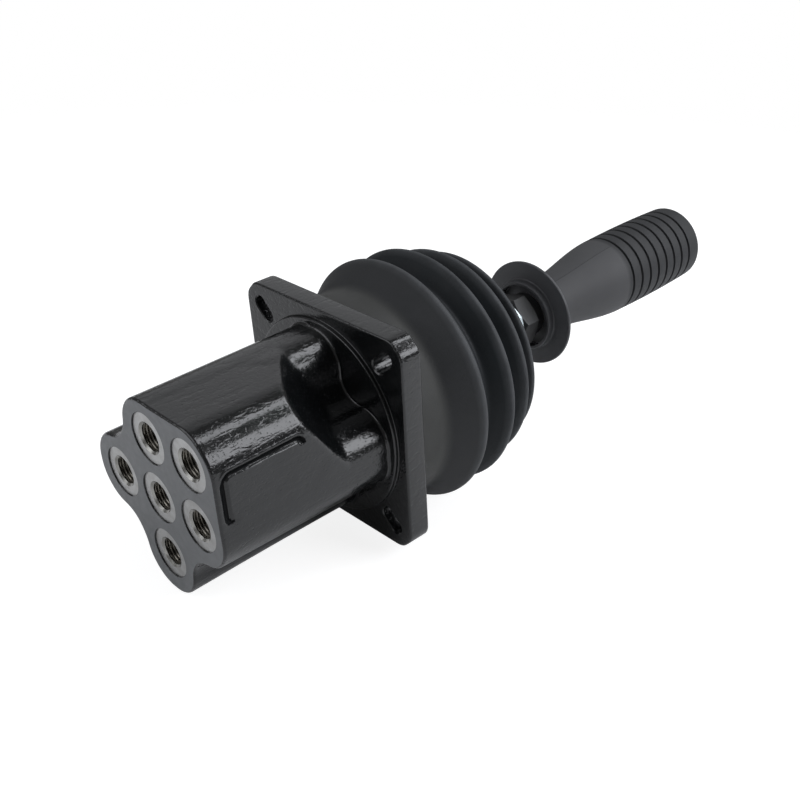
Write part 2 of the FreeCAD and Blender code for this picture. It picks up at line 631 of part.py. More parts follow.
def spool(x, y):
    """Metering spool: land with a waist at the pressure level, collar and guiding stem."""
    solid = rod(SPOOL_DIAMETER, SPOOL_BOTTOM, SPOOL_COLLAR_BOTTOM + TINY, x, y)
    solid = solid.fuse([
        rod(SPOOL_COLLAR_DIAMETER, SPOOL_COLLAR_BOTTOM, SPOOL_COLLAR_TOP, x, y),
        rod(SPOOL_STEM_DIAMETER, SPOOL_COLLAR_BOTTOM, PLUNGER_BOTTOM + SPOOL_STEM_ENTRY, x, y)])
    low = PRESSURE_LEVEL - SPOOL_WAIST_LENGTH / 2
    high = PRESSURE_LEVEL + SPOOL_WAIST_LENGTH / 2
    waist = tube(SPOOL_DIAMETER + 2, SPOOL_WAIST_DIAMETER, low, high, x, y)
    cross = Part.makeCylinder(SPOOL_CROSS_HOLE_DIAMETER / 2, SPOOL_DIAMETER + 2,
                              Vector(x - SPOOL_DIAMETER / 2 - 1, y, low), Vector(1, 0, 0))
    bore = rod(SPOOL_HOLE_DIAMETER, SPOOL_BOTTOM - OVERCUT, low + SPOOL_CROSS_HOLE_DIAMETER, x, y)
    return solid.cut([waist, cross, bore])


# Retainer plate

def screw_places():
    """Centres of the retainer screws, on the diagonals."""
    reach = SCREW_CIRCLE_RADIUS / math.sqrt(2)
    return [(reach, reach), (-reach, reach), (-reach, -reach), (reach, -reach)]


def screw_head_height():
    """Height of the countersunk head, whose sides slope at 45 degrees."""
    return (SCREW_HEAD_DIAMETER - SCREW_DIAMETER) / 2


def retainer_plate():
    """Disc that holds the guides down, with a raised rim that clamps the bellows' lip."""
    plate = rod(RETAINER_DIAMETER, FLANGE_TOP, PLATE_TOP)
    rim_inner = RETAINER_DIAMETER - 2 * RETAINER_RIM_SEAT
    rim_top = PLATE_TOP + RETAINER_RIM_HEIGHT
    plate = plate.fuse(tube(RETAINER_RIM_DIAMETER, rim_inner, PLATE_TOP, rim_top))
    low, high = FLANGE_TOP - OVERCUT, PLATE_TOP + OVERCUT
    neck_hole = GUIDE_NECK_DIAMETER + 2 * RETAINER_HOLE_CLEARANCE
    screw_hole = SCREW_DIAMETER + 2 * THREAD_CLEARANCE
    head_hole = SCREW_HEAD_DIAMETER + 2 * THREAD_CLEARANCE
    sink = PLATE_TOP - screw_head_height()
    holes = [rod(JOINT_STUD_DIAMETER + 2 * THREAD_CLEARANCE, low, high)]
    for x, y in STATIONS.values():
        holes.append(rod(neck_hole, low, high, x, y))
    for x, y in screw_places():
        holes.append(rod(screw_hole, low, high, x, y))
        holes.append(frustum(screw_hole, head_hole, sink, PLATE_TOP, x, y))
    return plate.cut(holes)


def retainer_screw(x, y):
    """Countersunk socket screw, flush with the plate."""
    head_bottom = PLATE_TOP - screw_head_height()
    head = frustum(SCREW_DIAMETER, SCREW_HEAD_DIAMETER, head_bottom, PLATE_TOP, x, y)
    screw = head.fuse(rod(SCREW_DIAMETER, PLATE_TOP - SCREW_LENGTH, head_bottom, x, y))
    socket = hexagon(SCREW_SOCKET_FLATS, PLATE_TOP - SCREW_SOCKET_DEPTH, PLATE_TOP + OVERCUT)
    socket.translate(Vector(x, y, 0))
    return screw.cut(socket)


# Universal joint and cam plate

def ear_pair(root):
    """Two ears facing each other along X, from their root level to a round end about the pivot."""
    low, high = sorted((root, PIVOT_HEIGHT))
    pair = []
    for start in (-EAR_OUTER, EAR_INNER):
        slab = Part.makeBox(EAR_THICKNESS, 2 * EAR_RADIUS, high - low, Vector(start, -EAR_RADIUS, low))
        end = Part.makeCylinder(EAR_RADIUS, EAR_THICKNESS, Vector(start, 0, PIVOT_HEIGHT), Vector(1, 0, 0))
        hole = Part.makeCylinder(BUSH_DIAMETER / 2 + FIT_CLEARANCE, EAR_THICKNESS + 2,
                                 Vector(start - OVERCUT, 0, PIVOT_HEIGHT), Vector(1, 0, 0))
        pair.append(slab.fuse(end).cut(hole))
    return pair


def quarter_turn(shape):
    """The same shape turned so that what faced X faces Y."""
    turned_shape = shape.copy()
    turned_shape.rotate(Vector(0, 0, 0), UP, 90)
    return turned_shape


def joint_base():
    """Lower yoke: stud in the casting, hexagonal foot on the plate, ears along X."""
    foot = hexagon(JOINT_BASE_FLATS, PLATE_TOP, JOINT_BASE_TOP)
    stud = rod(JOINT_STUD_DIAMETER, PLATE_TOP - JOINT_STUD_LENGTH, PLATE_TOP)
    return foot.fuse([stud] + ear_pair(JOINT_BASE_TOP - OVERCUT))


def gimbal_cross():
    """Cross with four trunnions in two pairs at right angles."""
    half = EAR_INNER - EAR_GAP
    block = Part.makeBox(2 * half, 2 * half, CROSS_HEIGHT,
                         Vector(-half, -half, PIVOT_HEIGHT - CROSS_HEIGHT / 2))
    block = block.makeChamfer(CROSS_EDGE_CUT, block.Edges)
    arm = Part.makeCylinder(TRUNNION_DIAMETER / 2, 2 * EAR_OUTER,
                            Vector(-EAR_OUTER, 0, PIVOT_HEIGHT), Vector(1, 0, 0))
    return block.fuse([arm, quarter_turn(arm)])


def bush_pair():
    """Two plain bushes in the ears along X."""
    pair = []
    for side in (-1, 1):
        start = min(side * EAR_INNER, side * EAR_OUTER)
        place = Vector(start, 0, PIVOT_HEIGHT)
        bush = Part.makeCylinder(BUSH_DIAMETER / 2, EAR_THICKNESS, place, Vector(1, 0, 0))
        bore = Part.makeCylinder(TRUNNION_DIAMETER / 2 + TRUNNION_CLEARANCE, EAR_THICKNESS + 2,
                                 place - Vector(1, 0, 0), Vector(1, 0, 0))
        pair.append(bush.cut(bore))
    return Part.Compound(pair)


def upper_yoke():
    """Yoke that hangs round the cross, ears along Y, with a stud for the lever above."""
    roof = rod(YOKE_ROOF_DIAMETER, YOKE_ROOF, YOKE_TOP)
    stud = rod(YOKE_STUD_DIAMETER, YOKE_TOP, YOKE_TOP + YOKE_STUD_LENGTH)
    return roof.fuse([stud] + [quarter_turn(ear) for ear in ear_pair(YOKE_ROOF + OVERCUT)])


def cam_plate():
    """Hat-shaped plate: its brim presses the plungers, its crown sits on the upper yoke."""
    inner = CAM_HUB_INNER_DIAMETER / 2
    outer = inner + CAM_HUB_WALL
    bore = YOKE_STUD_DIAMETER / 2 + THREAD_CLEARANCE
    hat = turned([
        (bore, YOKE_TOP), (inner, YOKE_TOP), (inner, PIVOT_HEIGHT), (CAM_DIAMETER / 2, PIVOT_HEIGHT),
        (CAM_DIAMETER / 2, PIVOT_HEIGHT + CAM_THICKNESS), (outer, PIVOT_HEIGHT + CAM_THICKNESS),
        (outer, CAM_TOP), (bore, CAM_TOP)])
    crown = [edge for edge in hat.Edges
             if abs(edge.BoundBox.ZMin - CAM_TOP) < TINY and edge.BoundBox.XLength > 2 * inner]
    return hat.makeFillet(CAM_HUB_ROUND, crown)


def cam_washer():
    """Plain washer on the cam plate's crown."""
    return tube(WASHER_DIAMETER, YOKE_STUD_DIAMETER + 2 * THREAD_CLEARANCE, CAM_TOP, LOCK_NUT_BOTTOM)


def cam_lock_nut():
    """Nut that clamps the cam plate to the upper yoke."""
    return nut(LOCK_NUT_FLATS, YOKE_STUD_DIAMETER + 2 * THREAD_CLEARANCE, LOCK_NUT_BOTTOM, ROD_BOTTOM)


# Lever

def lever_rod():
    """Rod with a socket for the yoke's stud at its foot."""
    stud_end = YOKE_TOP + YOKE_STUD_LENGTH
    socket_top = ROD_BOTTOM + ROD_SOCKET_HEIGHT
    taper = (ROD_SOCKET_DIAMETER - ROD_DIAMETER) / 2
    solid = rod(ROD_SOCKET_DIAMETER, ROD_BOTTOM, socket_top)
    solid = solid.fuse([
        frustum(ROD_SOCKET_DIAMETER, ROD_DIAMETER, socket_top, socket_top + taper),
        rod(ROD_DIAMETER, socket_top, ROD_TOP - taper),
        frustum(ROD_DIAMETER, ROD_DIAMETER - 2 * taper, ROD_TOP - taper, ROD_TOP)])
    bore = rod(YOKE_STUD_DIAMETER + 2 * THREAD_CLEARANCE, ROD_BOTTOM - OVERCUT, stud_end + THREAD_CLEARANCE)
    return solid.cut(bore)


def coupling_nut():
    """Black nut that locks the grip: a hexagon and a round neck that stands in the grip's recess."""
    bore = ROD_DIAMETER + 2 * THREAD_CLEARANCE
    head = nut(COUPLING_FLATS, bore, LEVER_NUT_TOP, COUPLING_TOP, COUPLING_TURN)
    return head.fuse(tube(COUPLING_NECK_DIAMETER, bore + 2 * NUT_SINK, COUPLING_TOP, RECESS_FLOOR))


def grip_insert():
    """Threaded bush moulded into the grip, with grooves that lock it there."""
    low, high = RECESS_FLOOR, RECESS_FLOOR + INSERT_HEIGHT
    solid = tube(INSERT_DIAMETER, ROD_DIAMETER + 2 * THREAD_CLEARANCE, low, high)
    grooves = []
    for i in range(INSERT_GROOVE_COUNT):
        level = low + (i + 1) * INSERT_HEIGHT / (INSERT_GROOVE_COUNT + 1)
        grooves.append(tube(INSERT_DIAMETER + OVERCUT, INSERT_DIAMETER - 2 * INSERT_KNURL_GROOVE,
                            level - INSERT_KNURL_GROOVE, level + INSERT_KNURL_GROOVE))
    return solid.cut(grooves)


def grip_profile():
    """Radius and level of the handle's outside, from behind the disc up to its end."""
    last_groove = GRIP_TOP - GRIP_LAST_GROOVE_FROM_END
    first_groove = last_groove - (GRIP_GROOVE_COUNT - 1) * GRIP_GROOVE_PITCH
    disc_back = DISC_FACE + GRIP_DISC_DISH + GRIP_DISC_RIM
    neck, swell = GRIP_NECK_DIAMETER / 2, GRIP_SWELL_DIAMETER / 2
    rise = first_groove - disc_back - GRIP_NECK_RISE
    points = [(neck, disc_back + GRIP_NECK_RISE)]
    for i in range(1, 6):
        share = i / 5
        blend = share * share * (3 - 2 * share)
        points.append((neck + (swell - neck) * blend, disc_back + GRIP_NECK_RISE + rise * share))
    belly = (first_groove + last_groove) / 2
    points.append((GRIP_BELLY_DIAMETER / 2, belly))
    points.append((GRIP_END_DIAMETER / 2, GRIP_TOP - GRIP_END_ROUND))
    return points


def grip():
    """Moulded grip: guard disc with a collar and a hexagon recess, neck, grooved handle."""
    disc = GRIP_DISC_DIAMETER / 2
    collar = GRIP_COLLAR_DIAMETER / 2
    disc_back = DISC_FACE + GRIP_DISC_DISH + GRIP_DISC_RIM
    outside = grip_profile()
    neck = outside[0][0]
    curve = Part.BSplineCurve()
    curve.interpolate([Vector(r, 0, z) for r, z in outside])
    end = GRIP_END_DIAMETER / 2
    straight = [(end - GRIP_END_ROUND, GRIP_TOP), (0, GRIP_TOP), (0, COLLAR_FACE), (collar, COLLAR_FACE),
                (collar, DISC_FACE), (disc, DISC_FACE + GRIP_DISC_DISH), (disc, disc_back),
                (neck + GRIP_DISC_RIM, disc_back), (neck, disc_back + GRIP_DISC_RIM), outside[0]]
    edges = [curve.toShape()]
    slant = math.sqrt(0.5) * GRIP_END_ROUND
    edges.append(Part.Arc(Vector(end, 0, GRIP_TOP - GRIP_END_ROUND),
                          Vector(end - GRIP_END_ROUND + slant, 0, GRIP_TOP - GRIP_END_ROUND + slant),
                          Vector(end - GRIP_END_ROUND, 0, GRIP_TOP)).toShape())
    for (r0, z0), (r1, z1) in zip(straight, straight[1:]):
        edges.append(Part.LineSegment(Vector(r0, 0, z0), Vector(r1, 0, z1)).toShape())
    face = Part.Face(Part.Wire(edges))
    solid = face.revolve(Vector(0, 0, 0), UP, 360)
    grooves = []
    for i in range(GRIP_GROOVE_COUNT):
        level = GRIP_TOP - GRIP_LAST_GROOVE_FROM_END - i * GRIP_GROOVE_PITCH
        floor = GRIP_SWELL_DIAMETER - 2 * GRIP_GROOVE_DEPTH
        grooves.append(tube(GRIP_BELLY_DIAMETER + 2, floor, level - GRIP_GROOVE_WIDTH / 2,
                            level + GRIP_GROOVE_WIDTH / 2))
    recess = rod(GRIP_RECESS_DIAMETER, COLLAR_FACE - 1, RECESS_FLOOR)
    insert_bore = rod(INSERT_DIAMETER + 2 * FIT_CLEARANCE, RECESS_FLOOR - 1, RECESS_FLOOR + INSERT_HEIGHT)
    return solid.cut(grooves + [recess, insert_bore])


# Bellows

def bellows_outline():
    """Outside of the rubber from its foot to its neck, as (radius, level) points."""
    points = [(BAND_DIAMETER / 2, FLANGE_TOP), (BAND_DIAMETER / 2, FLANGE_TOP + BAND_HEIGHT)]
    for i, (crest, level) in enumerate(zip(CREST_DIAMETERS, CREST_LEVELS)):
        points.append((crest / 2, level - CREST_FLAT / 2))
        points.append((crest / 2, level + CREST_FLAT / 2))
        if i < len(VALLEY_DIAMETERS):
            points.append((VALLEY_DIAMETERS[i] / 2, (level + CREST_LEVELS[i + 1]) / 2))
    neck = BELLOWS_NECK_DIAMETER / 2
    return points + [(neck, BELLOWS_TOP - BELLOWS_NECK_HEIGHT), (neck, BELLOWS_TOP)]


def rubber_bellows():
    """Boot: lip under the retainer's rim, base band, folds, and a neck round the rod."""
    outside = bellows_outline()
    neck_inner = ROD_DIAMETER / 2 + BELLOWS_NECK_CLEARANCE
    lip_inner = RETAINER_DIAMETER / 2 + BELLOWS_LIP_GAP
    wall_inner = RETAINER_RIM_DIAMETER / 2 + BELLOWS_LIP_GAP
    lip_top = PLATE_TOP - BELLOWS_LIP_GAP
    inside = [(neck_inner, outside[-1][1]), (neck_inner, outside[-2][1] - BELLOWS_WALL)]
    inside += [(r - BELLOWS_WALL, z) for r, z in reversed(outside[2:-2])]
    inside += [(wall_inner, FLANGE_TOP + BAND_HEIGHT), (wall_inner, lip_top),
               (lip_inner, lip_top), (lip_inner, FLANGE_TOP)]
    return turned(outside + inside)


def main():
    """Write every piece."""
    os.makedirs("parts", exist_ok=True)
    write("valve_body", valve_body())
    write("plunger_guides", at_stations(plunger_guide))
    write("guide_orings", at_stations(guide_oring))
    write("wiper_seals", at_stations(wiper_seal))
    write("retainer_plate", retainer_plate())
    write("retainer_screws", Part.Compound([retainer_screw(x, y) for x, y in screw_places()]))
    write("joint_base", joint_base())
    write("joint_base_bushes", bush_pair())
    write("gimbal_cross", gimbal_cross())
    write("upper_yoke", upper_yoke())
    write("upper_yoke_bushes", quarter_turn(bush_pair()))
    write("cam_plate", cam_plate())
    write("cam_washer", cam_washer())
    write("cam_lock_nut", cam_lock_nut())
    write("lever_rod", lever_rod())
    rod_thread = ROD_DIAMETER + 2 * THREAD_CLEARANCE
    write("lever_nut", nut(LEVER_NUT_FLATS, rod_thread, LEVER_NUT_BOTTOM, LEVER_NUT_TOP, LEVER_NUT_TURN))
    write("coupling_nut", coupling_nut())
    write("grip_insert", grip_insert())
    write("grip", grip())
    write("rubber_bellows", rubber_bellows())
    for name, (x, y) in STATIONS.items():
        write("plunger_" + name, plunger(x, y))
        write("spring_seat_" + name, spring_seat(x, y))
        write("return_spring_" + name, return_spring(x, y))
        write("metering_spring_" + name, metering_spring(x, y))
        write("spool_" + name, spool(x, y))


main()
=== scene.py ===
"""Looks of a hydraulic pilot-control joystick: cast valve body, rubber bellows, nuts and grip.

Lengths are in millimetres here and become metres when a mesh is made. +Z runs from the ports
towards the grip, and the origin is the middle of the flange's seat.
"""
import json
import math

import bpy
import numpy as np
from mathutils import Matrix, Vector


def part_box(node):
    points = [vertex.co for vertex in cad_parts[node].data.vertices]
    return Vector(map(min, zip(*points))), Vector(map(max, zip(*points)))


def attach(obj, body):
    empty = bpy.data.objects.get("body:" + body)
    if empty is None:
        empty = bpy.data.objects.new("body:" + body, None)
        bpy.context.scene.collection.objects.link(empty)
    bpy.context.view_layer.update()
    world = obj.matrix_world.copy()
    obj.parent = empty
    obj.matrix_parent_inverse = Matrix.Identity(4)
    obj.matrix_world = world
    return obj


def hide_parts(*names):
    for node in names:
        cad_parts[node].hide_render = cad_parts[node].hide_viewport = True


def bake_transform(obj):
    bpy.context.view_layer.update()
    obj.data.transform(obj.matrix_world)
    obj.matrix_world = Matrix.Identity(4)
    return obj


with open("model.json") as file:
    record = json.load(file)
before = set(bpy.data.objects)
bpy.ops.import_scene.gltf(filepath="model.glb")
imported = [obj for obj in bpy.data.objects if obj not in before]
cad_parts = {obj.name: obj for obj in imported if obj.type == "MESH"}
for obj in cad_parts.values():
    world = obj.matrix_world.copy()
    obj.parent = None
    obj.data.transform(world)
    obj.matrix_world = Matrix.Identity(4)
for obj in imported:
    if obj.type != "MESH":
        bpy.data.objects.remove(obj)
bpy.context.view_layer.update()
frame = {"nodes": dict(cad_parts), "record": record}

MM = 0.001


def node_box(node):
    """Lowest and highest corner of a CAD node in millimetres."""
    low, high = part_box(node)
    return np.array(low) / MM, np.array(high) / MM


# Casting
BODY_LOW, BODY_HIGH = node_box("valve_body")
PORT_FACE = BODY_LOW[2]
FLANGE_TOP = BODY_HIGH[2]
FLANGE_HALF = BODY_HIGH[0]
FLANGE_CORNER_CUT = 5.9
FLANGE_CORNER_ROUND = 2.4
FLANGE_EDGE_ROUND = 1.4
PAD_RADIUS = 44.5
PAD_HEIGHT = 2.0
PAD_EDGE_ROUND = 0.9
PORT_PITCH = 26.6
LOBE_AT_PORTS, LOBE_AT_FLANGE = 15.7, 14.2
VALLEY_AT_PORTS, VALLEY_AT_FLANGE = 17.2, 11.3
FAR_LOBE_EXTRA = 2.6
FAR_CORNER_STRETCH, FAR_STRETCH_AT_FLANGE = 1.7, 5.2
NEAR_STRETCH_AT_PORTS, NEAR_STRETCH_AT_FLANGE = 2.0, 5.7
FOOT_FLARE = 1.3
PORT_EDGE_ROUND = 1.1
LEFT_EDGE_ROUND = 0.7
COLUMN_INSET = 0.2
COLUMN_CORNER_CUT = 10.5
COLUMN_EDGE_ROUND = 15.5
COLUMN_LENGTH = 40.5
RUNOUT_EDGE = 2.6
CREST_BLEND, COLUMN_BLEND, RUNOUT_BLEND = 0.25, 0.8, 5.0
POCKET_Y = (-25.8, -6.0)
POCKET_Z = (-79.6, -44.0)
POCKET_CORNER = 3.0
POCKET_DEPTH, POCKET_GROOVE_DEPTH, POCKET_LIP = 0.35, 1.3, 0.14
POCKET_GROOVE = 1.9
POCKET_SIDE = 38.0
SLOT_HALF_SPACING = 37.6
SLOT_WIDTH, SLOT_LENGTH, SLOT_RIM = 7.0, 12.4, 0.35

# Ports and bores
SPOTFACE_RADIUS, SPOTFACE_DEPTH = 10.7, 0.6
THREAD_RADIUS, THREAD_LENGTH = 6.58, 12.0
THREAD_PITCH, THREAD_DEPTH = 1.337, 0.78
THREAD_CREST = THREAD_RADIUS - THREAD_DEPTH
MOUTH_RADIUS = 6.85
MOUTH_LIP = THREAD_DEPTH + 0.5
DRILL_POINT = 1.5
SPOOL_BORE, CHAMBER_BORE, GUIDE_BORE = 4.02, 9.0, 10.0
CHAMBER_FLOOR, GUIDE_FLOOR = -40.0, -2.0
TANK_BORE, TANK_TOP = 4.5, -28.0
PRESSURE_BORE, PRESSURE_TOP = 3.0, -52.0
STATIONS = ((PORT_PITCH, 0.0), (0.0, PORT_PITCH), (-PORT_PITCH, 0.0), (0.0, -PORT_PITCH))
TANK_PORT = (0.0, 0.0)
PRESSURE_PORT = (PORT_PITCH, -PORT_PITCH)
PORTS = STATIONS + (TANK_PORT, PRESSURE_PORT)

# Bellows
BAND_RADIUS, BAND_TOP = 47.5, 25.0
CRESTS = ((56.4, 39.2), (55.4, 57.1), (51.0, 71.2), (47.1, 79.8))
VALLEYS = ((47.5, 48.15), (45.5, 64.15), (42.0, 75.5))
CREST_HALF_WIDTH = 0.9
WALL = 2.4
NECK_RADIUS, SHOULDER_TOP, BELLOWS_TOP = 12.5, 86.8, 94.8
NECK_INNER = 8.35
LIP_INNER, RIM_CLEAR, LIP_TOP = 40.2, 43.7, 13.3
SPLIT_CREST = 1

# Nuts and grip
NUT_FLATS = 24.0
NUT_CHAMFER = 1.1
NUT_BORE = 8.05
LEVER_NUT = (100.9, 113.9, -34.0)
COUPLING_NUT = (113.9, 124.0, -13.0)
COUPLING_NECK = (8.75, 11.0)
GRIP_LOW, GRIP_HIGH = node_box("grip")
GRIP_TOP = GRIP_HIGH[2]
COLLAR_FACE = GRIP_LOW[2]
DISC_FACE = RECESS_FLOOR = COLLAR_FACE + 3.9
COLLAR_RADIUS, RECESS_RADIUS, DISC_RADIUS = 17.6, 15.8, 26.6
DISC_DISH, DISC_RIM = 0.2, 1.8
DISC_BACK = DISC_FACE + DISC_DISH + DISC_RIM
NECK_HANDLE_RADIUS, SWELL_RADIUS, BELLY_RADIUS, END_RADIUS = 13.5, 20.1, 20.5, 19.8
NECK_RISE = 8.0
INSERT_RADIUS, INSERT_HEIGHT = 11.02, 24.0
GROOVE_COUNT, GROOVE_PITCH = 8, 7.08
GROOVE_WIDTH, GROOVE_DEPTH = 1.6, 0.95
LAST_GROOVE = GRIP_TOP - 10.3
FIRST_GROOVE = LAST_GROOVE - (GROOVE_COUNT - 1) * GROOVE_PITCH
SEAM_ANGLE = math.radians(289.0)

# Springs: radius of the coil, wire, turns, level of the foot, and level below which nothing moves
SPRINGS = {"return": (7.35, 1.5, 5.5, -40.0, -40.0), "metering": (4.5, 0.9, 6.0, -36.0, -43.4)}
SPRING_END_GAP = 0.05

# Columns of points round each kind of shell
BODY_COLUMNS, BORE_COLUMNS, SLOT_COLUMNS, THREAD_COLUMNS = 430, 96, 48, 56
BELLOWS_COLUMNS, NUT_COLUMNS, GRIP_COLUMNS, WIRE_COLUMNS = 180, 264, 152, 12

# Rest plane of the object as it lies: one lobe's port end and the first fold touch it
LYING_TILT = math.radians(5.2)
REST_UP = np.array([0.0, -math.cos(LYING_TILT), math.sin(LYING_TILT)])


# Shape maths

def smoothstep(x):
    """0 below 0, 1 above 1, and 3x2 - 2x3 between."""
    x = np.clip(x, 0.0, 1.0)
    return x * x * (3.0 - 2.0 * x)


def soft_max(a, b, width):
    """Larger of a and b, raised by (width - gap)2 / 4 width where they differ by less than width."""
    gap = np.abs(a - b)
    return np.maximum(a, b) + np.maximum(width - gap, 0.0) ** 2 / (4.0 * width)


def soft_min(a, b, width):
    """Smaller of a and b, lowered by the same amount near where they meet."""
    return -soft_max(-a, -b, width)


def rounded_line(corners, steps=6):
    """Points of a broken line (r, z, round): each corner becomes a parabola touching both runs."""
    corners = np.array(corners, float)
    points = [corners[0, :2]]
    share = np.linspace(0.0, 1.0, steps + 1)[:, None]
    for before, corner, after in zip(corners, corners[1:], corners[2:]):
        here, radius = corner[:2], corner[2]
        if radius == 0.0:
            points.append(here)
            continue
        back, on = before[:2] - here, after[:2] - here
        reach = min(radius, 0.48 * np.linalg.norm(back), 0.48 * np.linalg.norm(on))
        start = here + reach * back / np.linalg.norm(back)
        end = here + reach * on / np.linalg.norm(on)
        points.extend((1 - share) ** 2 * start + 2 * share * (1 - share) * here + share ** 2 * end)
    points.append(corners[-1, :2])
    return np.array(points)


def refined(line, spacing):
    """The same line with extra points so that no run is longer than the spacing."""
    runs = np.linalg.norm(np.diff(line, axis=0), axis=1)
    counts = np.maximum(np.ceil(runs / spacing).astype(int), 1)
    at = np.concatenate([np.linspace(i, i + 1, n, endpoint=False) for i, n in enumerate(counts)]
                        + [[len(line) - 1.0]])
    index = np.arange(len(line))
    return np.stack([np.interp(at, index, line[:, 0]), np.interp(at, index, line[:, 1])], 1)


def circle(count):
    """Angles once round in equal steps."""
    return np.linspace(0.0, 2.0 * np.pi, count, endpoint=False)


def uneven_circle(count, peaks):
    """Angles once round, closer together near each (angle, width, strength) peak."""
    fine = np.linspace(0.0, 2.0 * np.pi, 20001)
    density = np.ones_like(fine)
    for angle, width, strength in peaks:
        away = np.abs((fine - angle + np.pi) % (2.0 * np.pi) - np.pi)
        density += strength * np.exp(-(away / width) ** 2)
    total = np.concatenate([[0.0], np.cumsum((density[1:] + density[:-1]) / 2.0)])
    wanted = np.linspace(0.0, total[-1], count, endpoint=False)
    return np.interp(wanted, total, fine)


def closed_shell(grid, poles=None):
    """Points and faces of a closed shell: rings of points, ended by two pole points or looped."""
    rows, columns = grid.shape[:2]
    points = grid.reshape(-1, 3)
    index = np.arange(rows * columns).reshape(rows, columns)
    if poles is None:
        index = np.concatenate([index, index[:1]])
    beside = np.roll(index, -1, axis=1)
    quads = np.stack([index[:-1], beside[:-1], beside[1:], index[1:]], -1).reshape(-1, 4).tolist()
    if poles is None:
        return points, quads
    first, last = np.full(columns, len(points)), np.full(columns, len(points) + 1)
    fans = np.concatenate([np.stack([first, beside[0], index[0]], -1),
                           np.stack([last, index[-1], beside[-1]], -1)])
    return np.concatenate([points, np.array(poles, float)]), quads + fans.tolist()


def volume_of(points, faces):
    """Signed volume: the sum over triangles of a . (b x c) / 6."""
    corners = np.array([face[:3] for face in faces] + [[f[0], f[2], f[3]] for f in faces if len(f) == 4])
    a, b, c = (points[corners[:, i]] for i in range(3))
    return float(np.sum(a * np.cross(b, c)) / 6.0)


def join_shells(shells):
    """Several (points, faces) shells as one, each turned so that its faces point outwards."""
    all_points, all_faces, offset = [], [], 0
    for points, faces in shells:
        if volume_of(points, faces) < 0.0:
            faces = [face[::-1] for face in faces]
        all_points.append(points)
        all_faces.extend([[i + offset for i in face] for face in faces])
        offset += len(points)
    return np.concatenate(all_points), all_faces


def add_object(name, data):
    """New object in the scene."""
    piece = bpy.data.objects.new(name, data)
    bpy.context.scene.collection.objects.link(piece)
    return piece


def mesh_object(name, shells, material=None, sharp_degrees=35.0):
    """Object from closed shells, smooth except over edges sharper than the angle."""
    points, faces = join_shells(shells)
    mesh = bpy.data.meshes.new(name)
    mesh.from_pydata(points * MM, [], faces)
    mesh.shade_smooth()
    mesh.set_sharp_from_angle(angle=math.radians(sharp_degrees))
    if material is not None:
        mesh.materials.append(material)
    return add_object(name, mesh)


def polar_grid(radius, angle, level, centre=(0.0, 0.0)):
    """Rings of points round a centre: x = r cos a, y = r sin a, z = level."""
    return np.stack([centre[0] + radius * np.cos(angle), centre[1] + radius * np.sin(angle),
                     level + 0.0 * angle], -1)


def revolved(line, columns, centre=(0.0, 0.0), loop=False):
    """Shell of revolution: x = r cos a, y = r sin a, z = z, from (r, z) points."""
    line = np.array(line, float)
    poles = None
    if not loop:
        poles = [(centre[0], centre[1], line[0, 1]), (centre[0], centre[1], line[-1, 1])]
        line = line[1:-1]
    return closed_shell(polar_grid(line[:, :1], circle(columns), line[:, 1:], centre), poles)


# Casting

def lobe_ends(extra, far_stretch, near_stretch):
    """Centres of each lobe's two round ends, going round from the right lobe."""
    out = PORT_PITCH + extra
    return np.array([((PORT_PITCH, 0.0), (PORT_PITCH, near_stretch)),
                     ((far_stretch, out), (-FAR_CORNER_STRETCH, out)),
                     ((-out, FAR_CORNER_STRETCH), (-out, -far_stretch)),
                     ((-near_stretch, -PORT_PITCH), (0.0, -PORT_PITCH))])


def crossings(ray, centre, size):
    """Near and far crossing of each ray with a circle, and whether it crosses ahead."""
    along = ray @ centre
    across = ray[:, 0] * centre[1] - ray[:, 1] * centre[0]
    inside = size ** 2 - across ** 2
    half = np.sqrt(np.maximum(inside, 0.0))
    return along - half, along + half, (inside > 0.0) & (along > 0.0)


def lobed_radius(angle, lobe, valley, ends):
    """Polar outline of four round-ended lobes joined by hollow arcs.

    On a lobe, the furthest crossing of the ray with its end circles and with the flat crest between
    them; between the places where a hollow arc touches its lobes, the near crossing of its circle.
    """
    ray = np.stack([np.cos(angle), np.sin(angle)], -1)
    radius = np.zeros_like(angle)
    for quarter, pair in enumerate(ends):
        for centre in pair:
            far, ahead = crossings(ray, centre, lobe)[1:]
            radius = np.where(ahead, np.maximum(radius, far), radius)
        turn = quarter * math.pi / 2.0
        outward = np.array([math.cos(turn), math.sin(turn)])
        onward = np.array([-math.sin(turn), math.cos(turn)])
        facing = ray @ outward
        crest = (pair[0] @ outward + lobe) / np.maximum(facing, 0.1)
        slide = crest * (ray @ onward)
        on_crest = (facing > 0.1) & (slide > pair[0] @ onward) & (slide < pair[1] @ onward)
        radius = np.where(on_crest, np.maximum(radius, crest), radius)
    for first, second in zip(ends[:, 1], np.roll(ends[:, 0], -1, axis=0)):
        gap = second - first
        length = np.linalg.norm(gap)
        rise = math.sqrt((lobe + valley) ** 2 - length ** 2 / 4.0)
        hollow = (first + second) / 2.0 + rise * np.array([gap[1], -gap[0]]) / length
        touch = [c + lobe * (hollow - c) / np.linalg.norm(hollow - c) for c in (first, second)]
        start, end = (math.atan2(t[1], t[0]) for t in touch)
        between = (angle - start) % (2.0 * np.pi) < (end - start) % (2.0 * np.pi)
        radius = np.where(between, crossings(ray, hollow, valley)[0], radius)
    return radius


